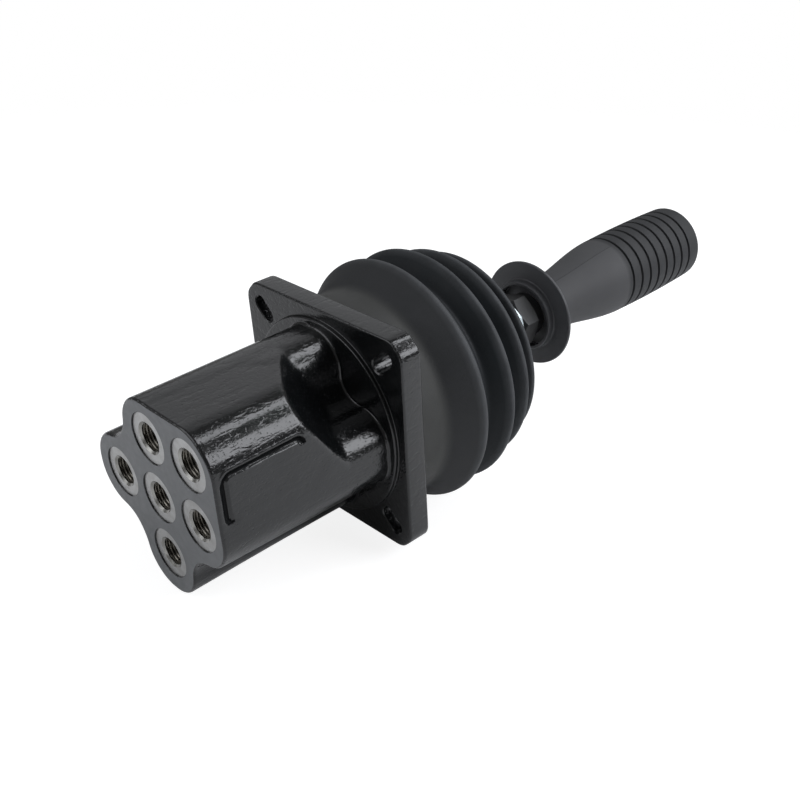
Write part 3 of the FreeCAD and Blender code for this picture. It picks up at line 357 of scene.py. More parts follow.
def column_outline(reach):
    """Corner column's outline: two faces and a cut corner, joined by wide arcs that touch them."""
    touch = COLUMN_EDGE_ROUND * math.tan(math.pi / 8.0)
    near, far = reach - COLUMN_EDGE_ROUND, reach - COLUMN_CORNER_CUT - touch
    turn = np.linspace(0.0, np.pi / 4.0, 25)
    first = np.stack([far + COLUMN_EDGE_ROUND * np.sin(turn),
                      -near - COLUMN_EDGE_ROUND * np.cos(turn)], 1)
    run = np.linspace(0.0, far, 60)[:-1]
    top = np.stack([run, np.full_like(run, -reach)], 1)
    half = np.concatenate([top, first])
    return np.concatenate([half, -half[::-1, ::-1]])


def column_radius(angle, level, lobe):
    """Polar outline of the corner column, cut past its length by a plane closing in at 45 degrees."""
    x, y = np.cos(angle), -np.sin(angle)
    inside = (x > 1e-6) & (y > 1e-6)
    outline = column_outline(PORT_PITCH + lobe - COLUMN_INSET)
    turn = np.arctan2(outline[:, 1], outline[:, 0])
    sides = np.interp(np.arctan2(-y, x), turn, np.hypot(outline[:, 0], outline[:, 1]))
    diagonal = np.maximum(x + y, 1e-6) / math.sqrt(2.0)
    start = (2.0 * (PORT_PITCH + LOBE_AT_PORTS - COLUMN_INSET) - COLUMN_CORNER_CUT) / math.sqrt(2.0)
    runout = start + PORT_FACE + COLUMN_LENGTH - level
    return np.where(inside, soft_min(sides, np.maximum(runout, 0.0) / diagonal, RUNOUT_EDGE), 0.0)


def body_radius(angle, level):
    """Polar outline of the cast body at one level: lobes and column, softly joined."""
    share = (level - PORT_FACE) / (-PAD_HEIGHT / 2.0 - PORT_FACE)
    lobe = LOBE_AT_PORTS + (LOBE_AT_FLANGE - LOBE_AT_PORTS) * share
    port_ends = lobe_ends(FAR_LOBE_EXTRA, 0.0, NEAR_STRETCH_AT_PORTS)
    flange_ends = lobe_ends(0.0, FAR_STRETCH_AT_FLANGE, NEAR_STRETCH_AT_FLANGE)
    at_ports = lobed_radius(angle, LOBE_AT_PORTS, VALLEY_AT_PORTS, port_ends)
    at_flange = lobed_radius(angle, LOBE_AT_FLANGE, VALLEY_AT_FLANGE, flange_ends)
    lobes = at_ports + (at_flange - at_ports) * share
    column = column_radius(angle, level, lobe)
    past_column = smoothstep((level - PORT_FACE - COLUMN_LENGTH) / 12.0)
    beside_crest = smoothstep(np.minimum(np.cos(angle), -np.sin(angle)) / 0.26)
    blend = COLUMN_BLEND + (RUNOUT_BLEND - COLUMN_BLEND) * past_column
    blend = CREST_BLEND + (blend - CREST_BLEND) * beside_crest
    return np.where(column > 0.0, soft_max(lobes, column, blend), lobes)


def square_radius(angle):
    """Polar outline of the flange: four sides and four cut corners, rounded where they meet."""
    x, y = np.abs(np.cos(angle)), np.abs(np.sin(angle))
    side = FLANGE_HALF / np.maximum(x, y)
    cut = (2.0 * FLANGE_HALF - FLANGE_CORNER_CUT) / (x + y)
    return soft_min(side, cut, FLANGE_CORNER_ROUND)


def dip(x, middle, half_width):
    """Rounded dip (1 - t2)2, t being the distance from its middle over its half width."""
    return np.maximum(1.0 - ((x - middle) / half_width) ** 2, 0.0) ** 2


def pocket_edge(y, z):
    """Distance outwards from the side panel's outline, a rectangle with round corners, and how
    strongly its groove is cut there: fully above and at the port end, not elsewhere."""
    middle = [(POCKET_Y[0] + POCKET_Y[1]) / 2.0, (POCKET_Z[0] + POCKET_Z[1]) / 2.0]
    beyond = [np.abs(value - centre) - (span[1] - span[0]) / 2.0 + POCKET_CORNER
              for value, centre, span in zip((y, z), middle, (POCKET_Y, POCKET_Z))]
    away = np.hypot(np.maximum(beyond[0], 0.0), np.maximum(beyond[1], 0.0))
    away = away + np.minimum(np.maximum(beyond[0], beyond[1]), 0.0) - POCKET_CORNER
    above = smoothstep((POCKET_Y[0] + 3.4 - y) / 3.0)
    port_end = smoothstep((POCKET_Z[0] + 5.0 - z) / 3.0) * smoothstep((POCKET_Y[1] + 1.0 - y) / 4.0)
    return away, np.maximum(above, port_end)


def pocket_sink(y, z):
    """Depth of the side panel: a shallow floor that runs out, a groove and a lip above it."""
    away, strength = pocket_edge(y, z)
    runs_out = smoothstep((POCKET_Z[1] - z) / 16.0) * smoothstep((POCKET_Y[1] - y) / 5.0)
    floor = POCKET_DEPTH * smoothstep(-away / 1.5) * runs_out
    width = POCKET_GROOVE + 0.6 * smoothstep((y - POCKET_Y[0] - 1.0) / 3.0)
    groove = POCKET_GROOVE_DEPTH * strength * dip(away, 0.0, width)
    lip = POCKET_LIP * dip(away, POCKET_GROOVE + 0.5, 0.9) * (y < POCKET_Y[0])
    return np.maximum(floor, groove) - lip


def port_edge(angle):
    """Size of the rounding round the port face: larger where the left lobe was cast full."""
    away = np.abs((angle - np.radians(172.0) + np.pi) % (2.0 * np.pi) - np.pi)
    return PORT_EDGE_ROUND + LEFT_EDGE_ROUND * smoothstep((np.radians(52.0) - away) / np.radians(24.0))


def edge_inset(angle, level):
    """Quarter round: e - sqrt(e2 - d2), where d is how far the level is inside the edge's reach."""
    size = port_edge(angle)
    inside = np.clip(PORT_FACE + size - level, 0.0, size)
    return size - np.sqrt(np.maximum(size ** 2 - inside ** 2, 0.0))


def casting_levels():
    """Levels of the body's side rows, closest at the port edge and the panel's ends."""
    top = -PAD_HEIGHT - FOOT_FLARE
    levels = np.sort(np.concatenate([
        PORT_FACE + 2.2 * np.linspace(0.0, 1.0, 13)[1:] ** 2,
        POCKET_Z[0] + np.linspace(-2.1, 3.4, 26),
        np.linspace(POCKET_Z[0] + 4.4, POCKET_Z[1] - 4.4, 12),
        POCKET_Z[1] + np.linspace(-3.4, 2.6, 26),
        np.linspace(POCKET_Z[1] + 3.4, -18.0, 38),
        np.linspace(-16.0, top, 10)]))
    return levels[np.diff(levels, prepend=PORT_FACE - 1.0) > 0.01]


def casting_shell():
    """Casting's skin as rings from the port face, up the body, over pad and flange to the top."""
    corners = np.arctan2([FLANGE_HALF - FLANGE_CORNER_CUT, FLANGE_HALF],
                         [FLANGE_HALF, FLANGE_HALF - FLANGE_CORNER_CUT])
    peaks = [(quarter * np.pi / 2 + corner, 0.022, 5.0) for quarter in range(4) for corner in corners]
    reach = PORT_PITCH + LOBE_AT_PORTS
    column = [math.atan2(-(reach - COLUMN_CORNER_CUT), reach),
              math.atan2(-reach, reach - COLUMN_CORNER_CUT)]
    peaks += [(angle, 0.10, 1.5) for angle in column]
    peaks.append((math.atan2(POCKET_Y[0] - 0.4, reach), 0.08, 5.0))
    angle = uneven_circle(BODY_COLUMNS, peaks)
    turned = np.stack([np.cos(angle), np.sin(angle)], -1)

    def ring(radius, level):
        flat = turned * np.broadcast_to(radius, angle.shape)[:, None]
        return np.concatenate([flat, np.full((len(angle), 1), level)], 1)

    mouth = body_radius(angle, PORT_FACE) - port_edge(angle)
    rings = [ring(mouth - 0.35, PORT_FACE), ring(mouth, PORT_FACE)]
    for level in casting_levels():
        side = ring(body_radius(angle, level) - edge_inset(angle, level), level)
        on_face = smoothstep((side[:, 0] - POCKET_SIDE) / 1.5)
        side[:, 0] -= on_face * pocket_sink(side[:, 1], level)
        rings.append(side)
    foot = body_radius(angle, -PAD_HEIGHT - FOOT_FLARE)
    for share in np.sin(np.linspace(0.0, np.pi / 2, 9))[1:]:
        flare = FOOT_FLARE * (1.0 - np.sqrt(max(1.0 - share ** 2, 0.0)))
        rings.append(ring(foot + flare, -PAD_HEIGHT - FOOT_FLARE * (1.0 - share)))
    rings.append(ring(foot + FOOT_FLARE + 0.3, -PAD_HEIGHT))
    over_pad = rounded_line([(PAD_RADIUS - 1.6, -PAD_HEIGHT, 0),
                             (PAD_RADIUS, -PAD_HEIGHT, PAD_EDGE_ROUND),
                             (PAD_RADIUS, 0.0, 0.5), (PAD_RADIUS + 1.0, 0.0, 0)])
    rings += [ring(radius, level) for radius, level in over_pad]
    outline = square_radius(angle)
    edge = rounded_line([(-2.2, 0.0, 0), (0.0, 0.0, FLANGE_EDGE_ROUND),
                         (0.0, FLANGE_TOP, FLANGE_EDGE_ROUND), (-2.2, FLANGE_TOP, 0)])
    rings += [ring(outline + inset, level) for inset, level in edge]
    rings += [ring(radius, FLANGE_TOP) for radius in (46.5, 44.0)]
    return closed_shell(np.array(rings), [(0, 0, PORT_FACE), (0, 0, FLANGE_TOP)])


def port_line(passage, passage_top, chamber=()):
    """(r, z) line of one port's cutter, from outside the port face inwards."""
    floor = PORT_FACE + SPOTFACE_DEPTH
    thread_end = floor + THREAD_LENGTH
    line = [(0, PORT_FACE - 1.0), (SPOTFACE_RADIUS + 0.25, PORT_FACE - 1.0),
            (SPOTFACE_RADIUS + 0.25, PORT_FACE), (SPOTFACE_RADIUS, PORT_FACE + 0.2),
            (SPOTFACE_RADIUS, floor), (MOUTH_RADIUS, floor),
            (THREAD_CREST, floor + THREAD_DEPTH), (THREAD_CREST, floor + MOUTH_LIP - 0.5),
            (THREAD_RADIUS, floor + MOUTH_LIP), (THREAD_RADIUS, thread_end),
            (passage, thread_end + DRILL_POINT)]
    last = chamber[-1][0] if chamber else passage
    return line + list(chamber) + [(last, passage_top), (0, passage_top)]


def bore_cutters():
    """Closed shells of everything bored from the casting."""
    chamber = [(SPOOL_BORE, CHAMBER_FLOOR), (CHAMBER_BORE, CHAMBER_FLOOR), (CHAMBER_BORE, GUIDE_FLOOR),
               (GUIDE_BORE, GUIDE_FLOOR)]
    lines = len(STATIONS) * [port_line(SPOOL_BORE, FLANGE_TOP + 1.0, chamber)]
    lines += [port_line(TANK_BORE, TANK_TOP), port_line(PRESSURE_BORE, PRESSURE_TOP)]
    return [revolved(line, BORE_COLUMNS, place) for line, place in zip(lines, PORTS)]


def slot_cutters():
    """Closed shells of the four diagonal slots: each ring is two half circles held apart."""
    half = (SLOT_LENGTH - SLOT_WIDTH) / 2.0
    angle = circle(SLOT_COLUMNS) + np.pi / SLOT_COLUMNS
    along = SLOT_WIDTH / 2.0 * np.cos(angle) + half * np.sign(np.cos(angle))
    across = SLOT_WIDTH / 2.0 * np.sin(angle)
    rim = 1.0 + 2.0 * SLOT_RIM / SLOT_WIDTH
    rings = [(-PAD_HEIGHT - 2.0, rim), (0.0, rim), (0.5, 1.0), (10.0, 1.0), (10.5, rim), (12.0, rim)]
    level, grow = np.array(rings).T[:, :, None]
    centre = SLOT_HALF_SPACING * math.sqrt(2.0)
    u, v = centre + along * grow, across * grow
    shells = []
    for turn in (45.0, 135.0, 225.0, 315.0):
        c, s = math.cos(math.radians(turn)), math.sin(math.radians(turn))
        grid = np.stack([c * u - s * v, s * u + c * v, level + 0.0 * u], -1)
        shells.append(closed_shell(grid, [(c * centre, s * centre, z) for z in level[[0, -1], 0]]))
    return shells


def cut_away(piece, shells):
    """Take closed shells out of a piece and keep the result as its mesh."""
    cutter = mesh_object("cutter", shells)
    cut = piece.modifiers.new("cut", "BOOLEAN")
    cut.object, cut.operation, cut.solver = cutter, "DIFFERENCE", "EXACT"
    depsgraph = bpy.context.evaluated_depsgraph_get()
    mesh = bpy.data.meshes.new_from_object(piece.evaluated_get(depsgraph))
    piece.modifiers.clear()
    old, piece.data = piece.data, mesh
    mesh.name = piece.name
    bpy.data.meshes.remove(old)
    bpy.data.meshes.remove(cutter.data)
    mesh.set_sharp_from_angle(angle=math.radians(30.0))


def face_values(mesh, name):
    """Vector of every face, such as its centre or its normal."""
    values = np.empty(len(mesh.polygons) * 3)
    mesh.polygons.foreach_get(name, values)
    return values.reshape(-1, 3)


def in_ports(middles, normals):
    """Faces of the ports, below their passages' ends and without the outer walls of the spot-faces,
    which keep the black paint as painted shade, and faces that lie within a mouth's radius."""
    away = np.array([np.linalg.norm(middles[:, :2] - place, axis=-1) for place in PORTS])
    ends = np.where([[place == PRESSURE_PORT] for place in PORTS], PRESSURE_TOP, TANK_TOP)
    # painted shade: the spot-faces' outer walls stay in black paint instead of bare iron
    shaded_spotface_wall = (away > SPOTFACE_RADIUS - 0.3) & (np.abs(normals[:, 2]) < 0.5)
    found = (away < SPOTFACE_RADIUS + 0.05) & (middles[:, 2] < ends - 0.5) & ~shaded_spotface_wall
    bored = found.any(axis=0) & (middles[:, 2] > PORT_FACE + 0.1)
    return bored, away.min(axis=0) < MOUTH_RADIUS - 0.05


def in_groove(middles):
    """Faces of the side panel's groove on its outer side."""
    away, strength = pocket_edge(middles[:, 1], middles[:, 2])
    across = (away > -0.6) & (away < POCKET_GROOVE - 0.1)
    return (middles[:, 0] > POCKET_SIDE) & across & (strength > 0.2)


def make_casting(*finishes):
    """Valve body: skin with its ports and slots bored. The finishes are those of the skin, the port
    face, the bores, the port mouths and the groove's painted shade."""
    casting = mesh_object("valve_casting", [casting_shell()])
    cut_away(casting, bore_cutters() + slot_cutters())
    middles = face_values(casting.data, "center") / MM
    bored, in_mouth = in_ports(middles, face_values(casting.data, "normal"))
    on_face = middles[:, 2] < PORT_FACE + 0.02
    # groove faces take the darker, duller paint: painted shade
    finish = np.select([on_face, bored & in_mouth, bored, in_groove(middles)], [1, 3, 2, 4], 0)
    for material in finishes:
        casting.data.materials.append(material)
    casting.data.polygons.foreach_set("material_index", finish.astype(np.int32))
    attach(casting, "housing")
    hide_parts("valve_body")


def thread_shell(place):
    """Threads of one port: inner radius waves between crest and root and advances one pitch a turn."""
    start = PORT_FACE + SPOTFACE_DEPTH + MOUTH_LIP - 0.3
    level = np.linspace(0.0, THREAD_LENGTH - MOUTH_LIP, 80)[:, None]
    angle = circle(THREAD_COLUMNS)
    wave = np.abs(((level / THREAD_PITCH - angle / (2.0 * np.pi)) % 1.0) * 2.0 - 1.0)
    grow = smoothstep(level / 0.5) * smoothstep((THREAD_LENGTH - MOUTH_LIP - level) / 1.5)
    crest = np.clip(1.15 * wave - 0.08, 0.0, 1.0)
    radius = THREAD_RADIUS + 0.02 - THREAD_DEPTH * crest * grow
    radius = np.concatenate([radius, np.full((2, len(angle)), THREAD_RADIUS + 0.3)])
    level = np.concatenate([level, [level[-1], level[0]]])
    return closed_shell(polar_grid(radius, angle, start + level, place))


def make_port_threads(metal):
    """The threads cut in all six ports."""
    threads = mesh_object("port_threads", [thread_shell(place) for place in PORTS], metal)
    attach(threads, "housing")


# Bellows

def bellows_lines():
    """Outside and inside of the rubber as (r, z, round) corners from the foot to the neck."""
    outside = [(LIP_INNER, FLANGE_TOP, 0), (BAND_RADIUS, FLANGE_TOP, 0.6), (BAND_RADIUS, BAND_TOP, 2.6)]
    inside = [(LIP_INNER, FLANGE_TOP, 0), (LIP_INNER, LIP_TOP, 0.2), (RIM_CLEAR, LIP_TOP, 0.4),
              (RIM_CLEAR, BAND_TOP, 1.0)]
    for i, (radius, level) in enumerate(CRESTS):
        for side in (-1.0, 1.0):
            outside.append((radius, level + side * CREST_HALF_WIDTH, 1.3))
            inside.append((radius - WALL, level + side * CREST_HALF_WIDTH, 1.0))
        if i < len(VALLEYS):
            outside.append((*VALLEYS[i], 2.2))
            inside.append((VALLEYS[i][0] - WALL, VALLEYS[i][1], 1.6))
    outside += [(NECK_RADIUS, SHOULDER_TOP, 2.5), (NECK_RADIUS, BELLOWS_TOP, 0.8),
                (NECK_INNER, BELLOWS_TOP, 0)]
    inside += [(NECK_INNER, SHOULDER_TOP - WALL, 1.2), (NECK_INNER, BELLOWS_TOP, 0)]
    return outside, inside


def make_bellows(rubber):
    """Bellows in two pieces that meet on a fold's crest."""
    outside, inside = (refined(rounded_line(line, 7), 1.1) for line in bellows_lines())
    split = CRESTS[SPLIT_CREST][1]

    def part(line, keep_low):
        edge = [[np.interp(split, line[:, 1], line[:, 0]), split]]
        if keep_low:
            return np.concatenate([line[line[:, 1] <= split], edge])
        return np.concatenate([edge, line[line[:, 1] >= split]])

    pieces = []
    for name, keep_low in (("bellows_lower", True), ("bellows_upper", False)):
        loop = np.concatenate([part(outside, keep_low), part(inside, keep_low)[::-1]])
        step = np.linalg.norm(loop - np.roll(loop, 1, axis=0), axis=1)
        loop = loop[step > 1e-4]
        piece = mesh_object(name, [revolved(loop, BELLOWS_COLUMNS, loop=True)], rubber, 50.0)
        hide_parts("rubber_bellows")
        pieces.append(piece)
    lower, upper = pieces
    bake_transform(lower)
    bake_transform(upper)


# Nuts and grip

def nut_shell(low, high, turn):
    """Hexagon nut: the smaller of the hexagon's polar radius and a cone at each face."""
    angle = uneven_circle(NUT_COLUMNS, [(math.radians(turn + 60.0 * i), 0.06, 4.0) for i in range(6)])
    sector = (angle - math.radians(turn)) % (np.pi / 3.0) - np.pi / 6.0
    hexagon = NUT_FLATS / 2.0 / np.cos(sector)
    corner = NUT_FLATS / math.sqrt(3.0)
    slope = (corner - NUT_FLATS / 2.0) / NUT_CHAMFER
    height = high - low
    depth = np.concatenate([[0.0, 0.08], np.linspace(0.2, NUT_CHAMFER + 0.4, 9), [height / 2.0]])
    depth = np.concatenate([depth, height - depth[-2::-1]])[:, None]
    cone = NUT_FLATS / 2.0 - 0.25 + slope * np.minimum(depth, height - depth)
    radius = soft_min(hexagon, cone, 0.35)
    radius[[0, -1]] -= 0.12
    bore = np.array([[NUT_BORE], [NUT_BORE + 0.7], [NUT_BORE + 0.9]]) + 0.0 * angle
    radius = np.concatenate([bore, radius, bore[::-1]])
    bore_levels = np.array([[0.7], [0.0], [0.0]])
    level = np.concatenate([bore_levels, depth, height - bore_levels[::-1]])
    return closed_shell(polar_grid(radius, angle, low + level))


def coupling_neck():
    """Round neck between the coupling nut's hexagon and the floor of the grip's recess."""
    inner, outer = COUPLING_NECK
    low, high = COUPLING_NUT[1] - 0.02, RECESS_FLOOR
    return revolved([(inner, low), (outer, low), (outer, high), (inner, high)], BORE_COLUMNS, loop=True)


def make_nut(name, shells, material):
    """One nut that stands for its CAD node."""
    piece = mesh_object(name + "_body", shells, material, 25.0)
    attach(piece, "lever")
    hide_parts(name)


def handle_radius(level):
    """Handle's outside without its grooves: neck swelling by a smooth step, then a low belly."""
    start = DISC_BACK + NECK_RISE
    grown = smoothstep((level - start) / (FIRST_GROOVE - start))
    swell = NECK_HANDLE_RADIUS + (SWELL_RADIUS - NECK_HANDLE_RADIUS) * grown
    share = np.clip((level - FIRST_GROOVE) / (GRIP_TOP - FIRST_GROOVE), 0.0, 1.0)
    belly = BELLY_RADIUS - (SWELL_RADIUS + END_RADIUS) / 2.0
    slant = (END_RADIUS - SWELL_RADIUS) * share
    return swell + np.where(share > 0.0, slant + 4.0 * belly * share * (1.0 - share), 0.0)


def grip_levels():
    """Rows along the handle: plain spacing, and a tight set across each groove."""
    side = GROOVE_WIDTH / 2.0 + np.array([-0.4, -0.12, -0.06, 0.0, 0.06, 0.12, 0.25, 0.6])
    across = np.concatenate([-side, side])
    grooves = LAST_GROOVE - np.arange(GROOVE_COUNT)[:, None] * GROOVE_PITCH
    return np.unique(np.concatenate([
        np.linspace(DISC_BACK + 3.2, FIRST_GROOVE - 2.0, 34), (grooves + across).ravel(),
        (grooves + GROOVE_PITCH / 2.0).ravel()]))


def grip_shell():
    """Grip as rings round the lever: recess, collar, dished guard disc, neck, grooved handle."""
    front = rounded_line([
        (INSERT_RADIUS, RECESS_FLOOR, 0), (RECESS_RADIUS, RECESS_FLOOR, 0.5),
        (RECESS_RADIUS, COLLAR_FACE, 0.7), (COLLAR_RADIUS, COLLAR_FACE, 0.8),
        (COLLAR_RADIUS, DISC_FACE, 1.1), (DISC_RADIUS, DISC_FACE + DISC_DISH, 0.8),
        (DISC_RADIUS, DISC_BACK, 0.8), (NECK_HANDLE_RADIUS, DISC_BACK, 2.6),
        (NECK_HANDLE_RADIUS, DISC_BACK + 3.0, 0)], 7)
    level = grip_levels()
    radius = handle_radius(level)
    nearest = np.round((LAST_GROOVE - level) / GROOVE_PITCH).clip(0, GROOVE_COUNT - 1)
    groove_middle = LAST_GROOVE - nearest * GROOVE_PITCH
    groove = smoothstep((GROOVE_WIDTH / 2.0 + 0.12 - np.abs(level - groove_middle)) / 0.24)
    ribbed = np.stack([radius - GROOVE_DEPTH * groove, level], -1)
    end = handle_radius(np.array([GRIP_TOP]))[0]
    back = rounded_line([
        tuple(ribbed[-1]) + (0,), (end, GRIP_TOP, 1.9), (7.0, GRIP_TOP, 0.4), (6.2, GRIP_TOP - 0.5, 0.4),
        (0, GRIP_TOP - 0.5, 0)], 8)
    bore_end = RECESS_FLOOR + INSERT_HEIGHT
    bore = [(0.0, bore_end), (INSERT_RADIUS, bore_end)]
    line = np.concatenate([bore, front, ribbed, back[1:]])
    step = np.linalg.norm(np.diff(line, axis=0), axis=1)
    line = line[np.concatenate([[True], step > 1e-4])]
    angle = uneven_circle(GRIP_COLUMNS, [(SEAM_ANGLE, 0.05, 7.0), (SEAM_ANGLE + np.pi, 0.05, 7.0)])
    radius, level = line[1:-1, :1], line[1:-1, 1:]
    away = np.abs((angle - SEAM_ANGLE + np.pi / 2) % np.pi - np.pi / 2) * radius
    on_neck = smoothstep((level - DISC_BACK - 4.0) / 3.0) * smoothstep(FIRST_GROOVE - 1.5 - level)
    outside = np.arange(len(level))[:, None] > 3
    radius = radius + 0.10 * np.exp(-(away / 0.22) ** 2) * on_neck * outside
    return closed_shell(polar_grid(radius, angle, level), [(0, 0, line[0, 1]), (0, 0, line[-1, 1])])


def make_grip(plastic):
    """Moulded grip on the lever."""
    piece = mesh_object("moulded_grip", [grip_shell()], plastic, 40.0)
    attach(piece, "lever")
    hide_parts("grip")


# Springs

def spring_shell(radius, wire, turns, low, high, place):
    """Round wire along a helix: its middle turns evenly while it rises evenly between two faces."""
    along = np.linspace(0.0, 1.0, round(28 * turns) + 1)
    angle = 2.0 * np.pi * turns * along
    rise = high - low - wire - 2.0 * SPRING_END_GAP
    outward = np.stack([np.cos(angle), np.sin(angle), 0.0 * angle], 1)
    middle = radius * outward + [place[0], place[1], low + wire / 2.0 + SPRING_END_GAP]
    middle[:, 2] += rise * along
    slope = rise / (2.0 * np.pi * turns)
    onward = np.stack([-radius * np.sin(angle), radius * np.cos(angle), slope + 0.0 * angle], 1)
    across = np.cross(onward / math.hypot(radius, slope), outward)
    turn = circle(WIRE_COLUMNS)[:, None]
    ring = np.cos(turn) * outward[:, None] + np.sin(turn) * across[:, None]
    return closed_shell(middle[:, None] + wire / 2.0 * ring, [middle[0], middle[-1]])


def make_springs(steel):
    """Return and metering spring of each station, coiled from its foot up to its spring seat. A
    metering spring's foot rides on its spool, which moves a fifth as far as the plunger."""
    for station in ("right", "front", "left", "back"):
        low, high = node_box("spring_seat_" + station)
        x, y = (low[:2] + high[:2]) / 2.0
        for kind, (radius, wire, turns, foot, still) in SPRINGS.items():
            shell = spring_shell(radius, wire, turns, foot, low[2], (x, y))
            piece = mesh_object(kind + "_coil_" + station, [shell], steel)
            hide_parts(kind + "_spring_" + station)
            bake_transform(piece)


# Materials: levels in metres between which the tone of rubber and grip changes (above the fold levels
# the rubber carries painted shade), and tool marks
BAND_TONE, FOLD_SHADE_LEVELS = (0.0235, 0.0275), (0.042, 0.050)
DISC_TONE, RIB_TONE = (0.136, 0.140), (0.1865, 0.1885)
FACING_MARKS = 24000.0


class Wire:
    """One socket in a material: sums and products of wires and numbers add Math nodes."""

    def __init__(self, finish, socket):
        self.finish = finish
        self.socket = socket

    def maths(self, operation, *others):
        """One Math node with this wire as its first input."""
        return self.finish.node("ShaderNodeMath", {"operation": operation}, self, *others)

    def __add__(self, other):
        return self.maths("ADD", other)

    def __sub__(self, other):
        return self.maths("SUBTRACT", other)

    def __rsub__(self, other):
        return self.finish.node("ShaderNodeMath", {"operation": "SUBTRACT"}, other, self)

    def __mul__(self, other):
        return self.maths("MULTIPLY", other)

    __radd__ = __add__
    __rmul__ = __mul__


class Finish:
    """A material with one Principled shader, made of nodes that read Object coordinates."""

    def __init__(self, name, **constants):
        self.material = bpy.data.materials.new(name)
        self.material.use_nodes = True
        self.tree = self.material.node_tree
        self.tree.nodes.clear()
        self.output = self.tree.nodes.new("ShaderNodeOutputMaterial")
        self.shader = self.tree.nodes.new("ShaderNodeBsdfPrincipled")
        self.tree.links.new(self.shader.outputs[0], self.output.inputs[0])
        for socket, value in constants.items():
            self.set(self.shader, socket.replace("_", " "), value)
        self.place = self.node("ShaderNodeTexCoord", out="Object")

    def set(self, node, socket, value):
        """Give a node's input a number, a colour or another wire."""
        if isinstance(value, Wire):
            self.tree.links.new(value.socket, node.inputs[socket])
        else:
            node.inputs[socket].default_value = value

    def node(self, kind, settings=None, *values, out=0, **named):
        """Add any node: its settings first, then its inputs by order or by name."""
        node = self.tree.nodes.new(kind)
        for name, value in (settings or {}).items():
            setattr(node, name, value)
        for i, value in enumerate(values):
            if value is not None:
                self.set(node, i, value)
        for name, value in named.items():
            self.set(node, name.replace("_", " "), value)
        return Wire(self, node.outputs[out])

    def vector(self, operation, *values, out=0):
        """Add a vector maths node."""
        return self.node("ShaderNodeVectorMath", {"operation": operation}, *values, out=out)

    def noise(self, scale, detail=2.0, roughness=0.5, stretch=(1.0, 1.0, 1.0)):
        """Cloudy pattern with so many lumps per metre, 0 to 1."""
        where = self.node("ShaderNodeMapping", None, self.place, Scale=stretch)
        return self.node("ShaderNodeTexNoise", None, Vector=where, Scale=scale, Detail=detail,
                         Roughness=roughness)

    def bump(self, height, distance, strength=1.0, normal=None):
        """Bumped normal from a height from 0 to 1 and its full depth in metres."""
        under = {} if normal is None else {"Normal": normal}
        return self.node("ShaderNodeBump", None, Height=height, Distance=distance, Strength=strength,
                         **under)

    def range(self, value, low, high, to_low, to_high):
        """Value mapped from one range to another and kept inside it."""
        return self.node("ShaderNodeMapRange", {"clamp": True}, value, low, high, to_low, to_high)

    def mix(self, share, first, second):
        """Colour between two. The sockets between the share and the colours stay as they are."""
        unused = [None] * 5
        return self.node("ShaderNodeMix", {"data_type": "RGBA"}, share, *unused, first, second, out=2)

    def wear(self, socket, value):
        """Link a varying value to the shader."""
        self.set(self.shader, socket, value)


def grey(level, warmth=0.0):
    """Colour of a plain grey, with red up and blue down by the warmth."""
    return (level * (1.0 + warmth), level, level * (1.0 - warmth), 1.0)


def cast_paint():
    """Gloss black paint over a sand-cast surface: orange peel, soft lumps, dents and pits."""
    f = Finish("gloss_black_cast_paint", IOR=1.5)
    peel = f.noise(620.0, 2.0, 0.55)
    lumps = f.noise(150.0, 3.0, 0.6, (1.0, 1.0, 0.45))
    dents = f.range(f.noise(330.0, 2.0, 0.55, (1.0, 1.0, 0.36)), 0.34, 0.46, 0.0, 1.0)
    pits = f.range(f.noise(900.0, 1.0), 0.62, 0.75, 1.0, 0.0)
    normal = None
    for height, depth in ((lumps, 0.00013), (dents, 0.00007), (peel, 0.00009), (pits, 0.00007)):
        normal = f.bump(height, depth, 0.8, normal)
    f.wear("Normal", normal)
    dark, pale = (0.0024, 0.0028, 0.0030, 1.0), (0.0040, 0.0044, 0.0048, 1.0)
    f.wear("Base Color", f.mix(f.noise(90.0, 4.0), dark, pale))
    f.wear("Roughness", f.range(f.noise(240.0, 3.0), 0.3, 0.7, 0.15, 0.21))
    return f.material


def plain_finish(name, relief, tone, colours, wear, rough, **constants):
    """Fine relief (noise, depth, strength), and colour and roughness that drift between two values by
    the tone and the wear, each a noise and the part of its range that is used."""
    f = Finish(name, **constants)
    f.wear("Normal", f.bump(f.noise(*relief[0]), *relief[1:]))
    f.wear("Base Color", f.mix(f.range(f.noise(*tone[0]), *tone[1:], 0.0, 1.0), *colours))
    f.wear("Roughness", f.range(f.noise(*wear[0]), *wear[1:], *rough))
    return f.material


def groove_shade_paint():
    """The same paint, darker, rougher and less glossy in the side panel's groove: painted shade."""
    return plain_finish("groove_painted_shade", ((620.0, 2.0, 0.55), 0.00010, 0.8),
                        ((180.0, 4.0), 0.0, 1.0), (grey(0.0018, -0.1), grey(0.0032, -0.1)),
                        ((240.0, 3.0), 0.3, 0.7), (0.30, 0.42), IOR=1.12)


def port_face_paint():
    """Thin satin paint over the milled port face."""
    return plain_finish("satin_port_face_paint", ((2200.0, 2.0, 0.6), 0.00003, 0.7),
                        ((120.0, 3.0), 0.0, 1.0), (grey(0.085, -0.04), grey(0.112, -0.04)),
                        ((300.0, 3.0), 0.3, 0.7), (0.36, 0.48), IOR=1.5)


def bare_steel(name, colour, rough=(0.28, 0.42)):
    """Turned metal with fine marks and a little staining."""
    stained = tuple(0.72 * c for c in colour[:3]) + (1.0,)
    stain = (160.0, 4.0, 0.6)
    return plain_finish(name, ((3200.0, 2.0, 0.6), 0.00002, 0.6), (stain, 0.35, 0.7), (colour, stained),
                        (stain, 0.3, 0.7), rough, Metallic=1.0)


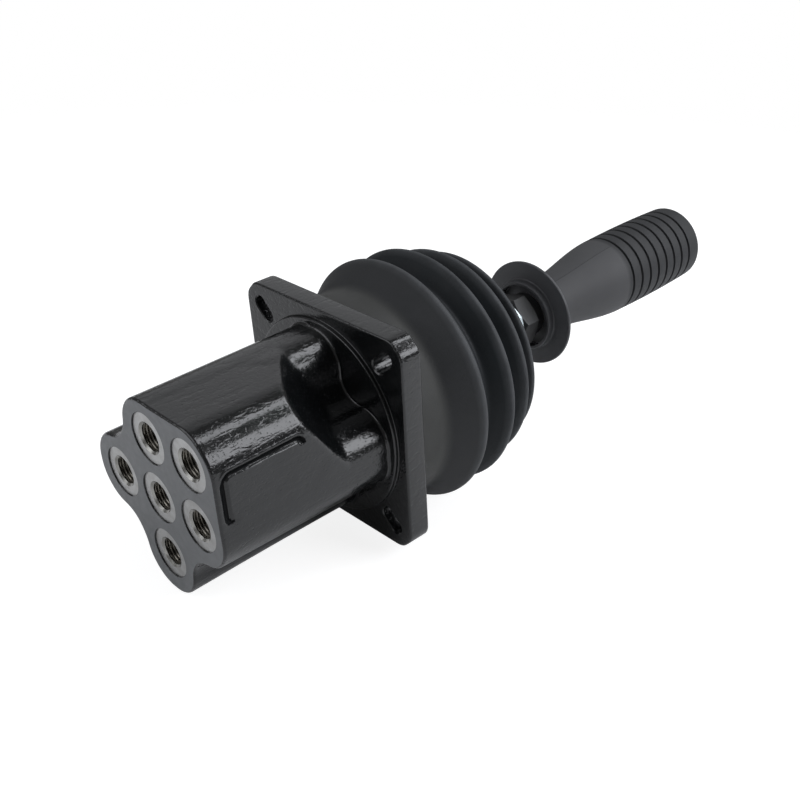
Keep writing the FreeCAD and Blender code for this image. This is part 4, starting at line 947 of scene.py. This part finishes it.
def spotface_steel():
    """Bare iron of the spot-faces and bores, with the facing tool's rings round each port."""
    f = Finish("bare_spotface_iron", Metallic=1.0)
    away = None
    for x, y in PORTS:
        offset = f.vector("SUBTRACT", f.place, (x * MM, y * MM, 0.0))
        length = f.vector("LENGTH", f.vector("MULTIPLY", offset, (1.0, 1.0, 0.0)), out=1)
        away = length if away is None else away.maths("MINIMUM", length)
    rings = (away * FACING_MARKS).maths("SINE") * 0.5 + 0.5
    grain = f.noise(2600.0, 2.0, 0.6)
    f.wear("Normal", f.bump(rings * 0.6 + grain * 0.4, 0.00003, 0.5))
    stain = f.range(f.noise(260.0, 4.0, 0.6), 0.35, 0.7, 0.0, 1.0)
    f.wear("Base Color", f.mix(stain, (0.46, 0.46, 0.455, 1.0), (0.36, 0.355, 0.345, 1.0)))
    f.wear("Roughness", f.range(grain, 0.3, 0.7, 0.30, 0.46))
    return f.material


def bellows_rubber():
    """Moulded rubber: matte and fine-grained, paler on the band; the folds above the first are painted
    darker as shade, and the crests carry a painted highlight.
    """
    f = Finish("moulded_rubber", IOR=1.45, Specular_IOR_Level=0.32)
    grain = f.noise(2400.0, 2.0, 0.65)
    cloud = f.range(f.noise(70.0, 4.0, 0.6), 0.3, 0.7, 0.0, 1.0)
    height = f.node("ShaderNodeSeparateXYZ", None, f.place, out=2)
    band = f.range(height, *BAND_TONE, 1.0, 0.0)
    # painted shade: the folds above the first fold are darkened, as if shaded by the first crest
    upper = f.range(height, *FOLD_SHADE_LEVELS, 0.0, 1.0)
    # painted highlight: a paler rim along each crest, where the lamps catch it
    crest_highlight = None
    for _, level in CRESTS:
        rim = f.range((height - level * MM).maths("ABSOLUTE"), 0.0008, 0.0034, 1.0, 0.0)
        crest_highlight = rim if crest_highlight is None else rim.maths("MAXIMUM", crest_highlight)
    f.wear("Normal", f.bump(grain, 0.00010, 0.8))
    first = f.mix(cloud, (0.0165, 0.0175, 0.0190, 1.0), (0.0215, 0.0225, 0.0240, 1.0))
    # darker, bluish colour of the upper folds: painted shade
    second = f.mix(cloud, (0.0012, 0.0029, 0.0046, 1.0), (0.0038, 0.0062, 0.0082, 1.0))
    fold_shade_and_crest_highlight = f.mix(upper, first, second)
    # crest rims mixed towards a pale grey: painted highlight
    fold_shade_and_crest_highlight = f.mix(crest_highlight * (0.35 + cloud * 0.5), fold_shade_and_crest_highlight, (0.055, 0.058, 0.062, 1.0))
    f.wear("Base Color", f.mix(band, fold_shade_and_crest_highlight, (0.031, 0.0315, 0.030, 1.0)))
    f.wear("Roughness", f.range(cloud, 0.0, 1.0, 0.55, 0.68))
    return f.material


def grip_plastic():
    """Satin black plastic, smooth at the neck and finely grained between the grooves."""
    f = Finish("satin_grip_plastic", IOR=1.48, Specular_IOR_Level=0.30)
    height = f.node("ShaderNodeSeparateXYZ", None, f.place, out=2)
    across = (-math.sin(SEAM_ANGLE), math.cos(SEAM_ANGLE), 0.0)
    beside = f.vector("DOT_PRODUCT", f.place, across, out=1)
    seam = f.range(beside.maths("ABSOLUTE"), 0.00012, 0.00040, 1.0, 0.0)
    ribs = f.range(height, *RIB_TONE, 0.0, 1.0)
    disc = f.range(height, *DISC_TONE, 1.0, 0.0)
    grain = f.noise(1900.0, 2.0, 0.6) * ribs * 0.8 + f.noise(3600.0, 1.0, 0.5) * 0.2
    f.wear("Normal", f.bump(grain, 0.00009, 0.8))
    cloud = f.range(f.noise(60.0, 3.0), 0.3, 0.7, 0.0, 1.0)
    smooth = f.mix(cloud, (0.041, 0.0413, 0.0432, 1.0), (0.047, 0.0473, 0.0492, 1.0))
    smooth = f.mix(seam * 0.75, smooth, (0.016, 0.0164, 0.0175, 1.0))
    colour = f.mix(ribs, smooth, (0.0185, 0.0192, 0.0206, 1.0))
    f.wear("Base Color", f.mix(disc, colour, (0.047, 0.0478, 0.0510, 1.0)))
    f.wear("Roughness", f.range(disc, 0.0, 1.0, 0.62, 0.40))
    return f.material


def zinc_plate():
    """Bright blue-passivated zinc."""
    cloud = ((220.0, 4.0, 0.6), 0.3, 0.7)
    colours = (0.76, 0.82, 0.83, 1.0), (0.64, 0.73, 0.76, 1.0)
    return plain_finish("blue_zinc_plate", ((2600.0, 2.0), 0.00002, 0.6), cloud, colours, cloud,
                        (0.36, 0.46), Metallic=0.8)


def black_oxide():
    """Oiled black oxide on steel."""
    cloud = ((300.0, 4.0, 0.6), 0.3, 0.7)
    colours = grey(0.014, -0.04), grey(0.022)
    return plain_finish("black_oxide_steel", ((2200.0, 2.0), 0.00004, 0.6), cloud, colours, cloud,
                        (0.42, 0.54), IOR=1.5, Metallic=0.25)


def finish_inner_pieces(finishes):
    """Give every CAD node that stays in view of its own the finish of its material slot."""
    slots = {part["node"]: part["material_slot"] for part in frame["record"]["subparts"]}
    for name, node in frame["nodes"].items():
        node.data.materials.clear()
        node.data.materials.append(finishes[slots[name]])


# Stage, light and camera

CAMERA_PLACE = np.array([315.114, -233.010, -238.788])
CAMERA_RIGHT = np.array([0.68607752, 0.05076178, 0.72575538])
CAMERA_DOWN = np.array([0.33476896, 0.86365275, -0.37687356])
CAMERA_FORWARD = np.array([-0.6459314, 0.50152485, 0.57553927])
LENS = 48.2295
SENSOR = 36.0
STUDIO_MIDDLE = np.array([0.0, 0.0, 20.0])
COOL_LIGHT = (0.965, 0.985, 1.03)
SKY_ON_OBJECT = 0.22
TABLE_GLOW = 0.85
TABLE_FADE = (0.55, 0.95)


def turn_and_place(piece, axes, place):
    """Turn an object to three axes and put it at a place in metres."""
    matrix = np.eye(4)
    matrix[:3, :3], matrix[:3, 3] = np.stack(axes, 1), place
    piece.matrix_world = Matrix(matrix.tolist())


def place_camera():
    """Camera where the photograph was taken from."""
    data = bpy.data.cameras.new("camera")
    data.lens, data.sensor_width, data.clip_start = LENS, SENSOR, 0.01
    camera = add_object("camera", data)
    turn_and_place(camera, [CAMERA_RIGHT, -CAMERA_DOWN, -CAMERA_FORWARD], CAMERA_PLACE * MM)
    bpy.context.scene.camera = camera


def softbox(name, first, last, breadth, brightness):
    """Lamp 1 m from the object's middle, spanning from one direction to another and facing it. The
    brightness is its radiance: power over pi times its area."""
    first, last = (np.array(v, float) / np.linalg.norm(v) for v in (first, last))
    towards = (first + last) / np.linalg.norm(first + last)
    across = (last - first) / np.linalg.norm(last - first)
    width = 2.0 * math.tan(math.acos(float(first @ last)) / 2.0)
    data = bpy.data.lights.new(name, "AREA")
    data.shape, data.size, data.size_y = "RECTANGLE", width, breadth
    data.energy = brightness * width * breadth * math.pi
    data.color = COOL_LIGHT
    lamp = add_object(name, data)
    turn_and_place(lamp, [across, np.cross(towards, across), towards], STUDIO_MIDDLE * MM + towards)
    lamp.visible_camera = False


def light_studio():
    """Two bright softboxes behind, above and to the right, and weaker ones to the left and front."""
    softbox("box_above", (0.06, -0.81, 0.575), (0.37, -0.735, 0.575), 0.75, 5.4)
    softbox("box_right", (0.53, -0.62, 0.575), (0.80, -0.20, 0.575), 0.75, 6.0)
    softbox("box_left", (-0.95, -0.30, 0.35), (-0.30, -0.75, 0.60), 0.9, 0.42)
    softbox("box_front", (-0.75, -0.52, -0.58), (0.22, -0.66, -0.80), 0.8, 1.75)


def light_world():
    """White to the camera, softer grey for the light that falls on the object."""
    world = bpy.data.worlds.new("studio")
    bpy.context.scene.world = world
    world.use_nodes = True
    tree = world.node_tree
    tree.nodes.clear()
    path, strength, sky, output = (tree.nodes.new("ShaderNode" + kind)
                                   for kind in ("LightPath", "Mix", "Background", "OutputWorld"))
    strength.inputs[2].default_value = SKY_ON_OBJECT
    strength.inputs[3].default_value = 1.0
    sky.inputs["Color"].default_value = (1.0, 1.0, 1.0, 1.0)
    tree.links.new(path.outputs["Is Camera Ray"], strength.inputs[0])
    tree.links.new(strength.outputs[0], sky.inputs["Strength"])
    tree.links.new(sky.outputs[0], output.inputs[0])


def table_finish():
    """White table: plainly lit for the object, nearly white to the camera so that the shadow is
    faint, clear from below and faded out far away."""
    f = Finish("white_table", Roughness=0.6)
    f.set(f.shader, "Base Color", (0.93, 0.93, 0.93, 1.0))
    glow = f.node("ShaderNodeEmission", None, Strength=TABLE_GLOW)
    pale = f.node("ShaderNodeBsdfDiffuse", None, Color=(0.34, 0.34, 0.34, 1.0))
    seen = f.node("ShaderNodeAddShader", None, glow, pale)
    to_camera = f.node("ShaderNodeLightPath", out="Is Camera Ray")
    lit = f.node("ShaderNodeMixShader", None, to_camera, Wire(f, f.shader.outputs[0]), seen)
    behind = f.node("ShaderNodeNewGeometry", out="Backfacing")
    share = f.range(f.vector("LENGTH", f.place, out=1), *TABLE_FADE, 1.0, 0.0) * (1.0 - behind)
    shown = f.node("ShaderNodeMixShader", None, share, f.node("ShaderNodeBsdfTransparent"), lit)
    f.set(f.output, 0, shown)
    return f.material


def lay_table():
    """Square under the object, touching its first fold and one lobe's port end."""
    first_fold = (0.0, CRESTS[0][0], CRESTS[0][1])
    lobe_end = (0.0, PORT_PITCH + FAR_LOBE_EXTRA + LOBE_AT_PORTS, PORT_FACE)
    touch = min(float(REST_UP @ first_fold), float(REST_UP @ lobe_end))
    across = np.array([1.0, 0.0, 0.0])
    along = np.cross(REST_UP, across)
    middle = REST_UP * (touch - 0.15) * MM
    corners = [middle + a * across + b * along for a, b in ((-1, -1), (1, -1), (1, 1), (-1, 1))]
    mesh = bpy.data.meshes.new("table")
    mesh.from_pydata(corners, [], [(0, 1, 2, 3)])
    mesh.materials.append(table_finish())
    table = add_object("table", mesh)


def dress():
    """Make and finish every piece."""
    rubber, plastic = bellows_rubber(), grip_plastic()
    zinc, oxide = zinc_plate(), black_oxide()
    steel = bare_steel("machined_steel", (0.56, 0.57, 0.58, 1.0))
    brass = bare_steel("turned_brass", (0.72, 0.52, 0.24, 1.0))
    paint = cast_paint()
    mouths = bare_steel("port_mouth_iron", (0.34, 0.335, 0.315, 1.0), (0.18, 0.26))
    make_casting(paint, port_face_paint(), spotface_steel(), mouths, groove_shade_paint())
    make_port_threads(bare_steel("cut_thread_iron", (0.18, 0.168, 0.145, 1.0), (0.22, 0.32)))
    make_bellows(rubber)
    make_nut("lever_nut", [nut_shell(*LEVER_NUT)], zinc)
    make_nut("coupling_nut", [nut_shell(*COUPLING_NUT), coupling_neck()], oxide)
    make_grip(plastic)
    make_springs(steel)
    finish_inner_pieces({"cast_body": paint, "steel": steel, "zinc": zinc, "black_steel": oxide,
                         "brass": brass, "rubber": rubber, "grip_plastic": plastic})


bpy.context.scene.view_settings.view_transform = "Standard"
place_camera()
light_studio()
light_world()
lay_table()
dress()
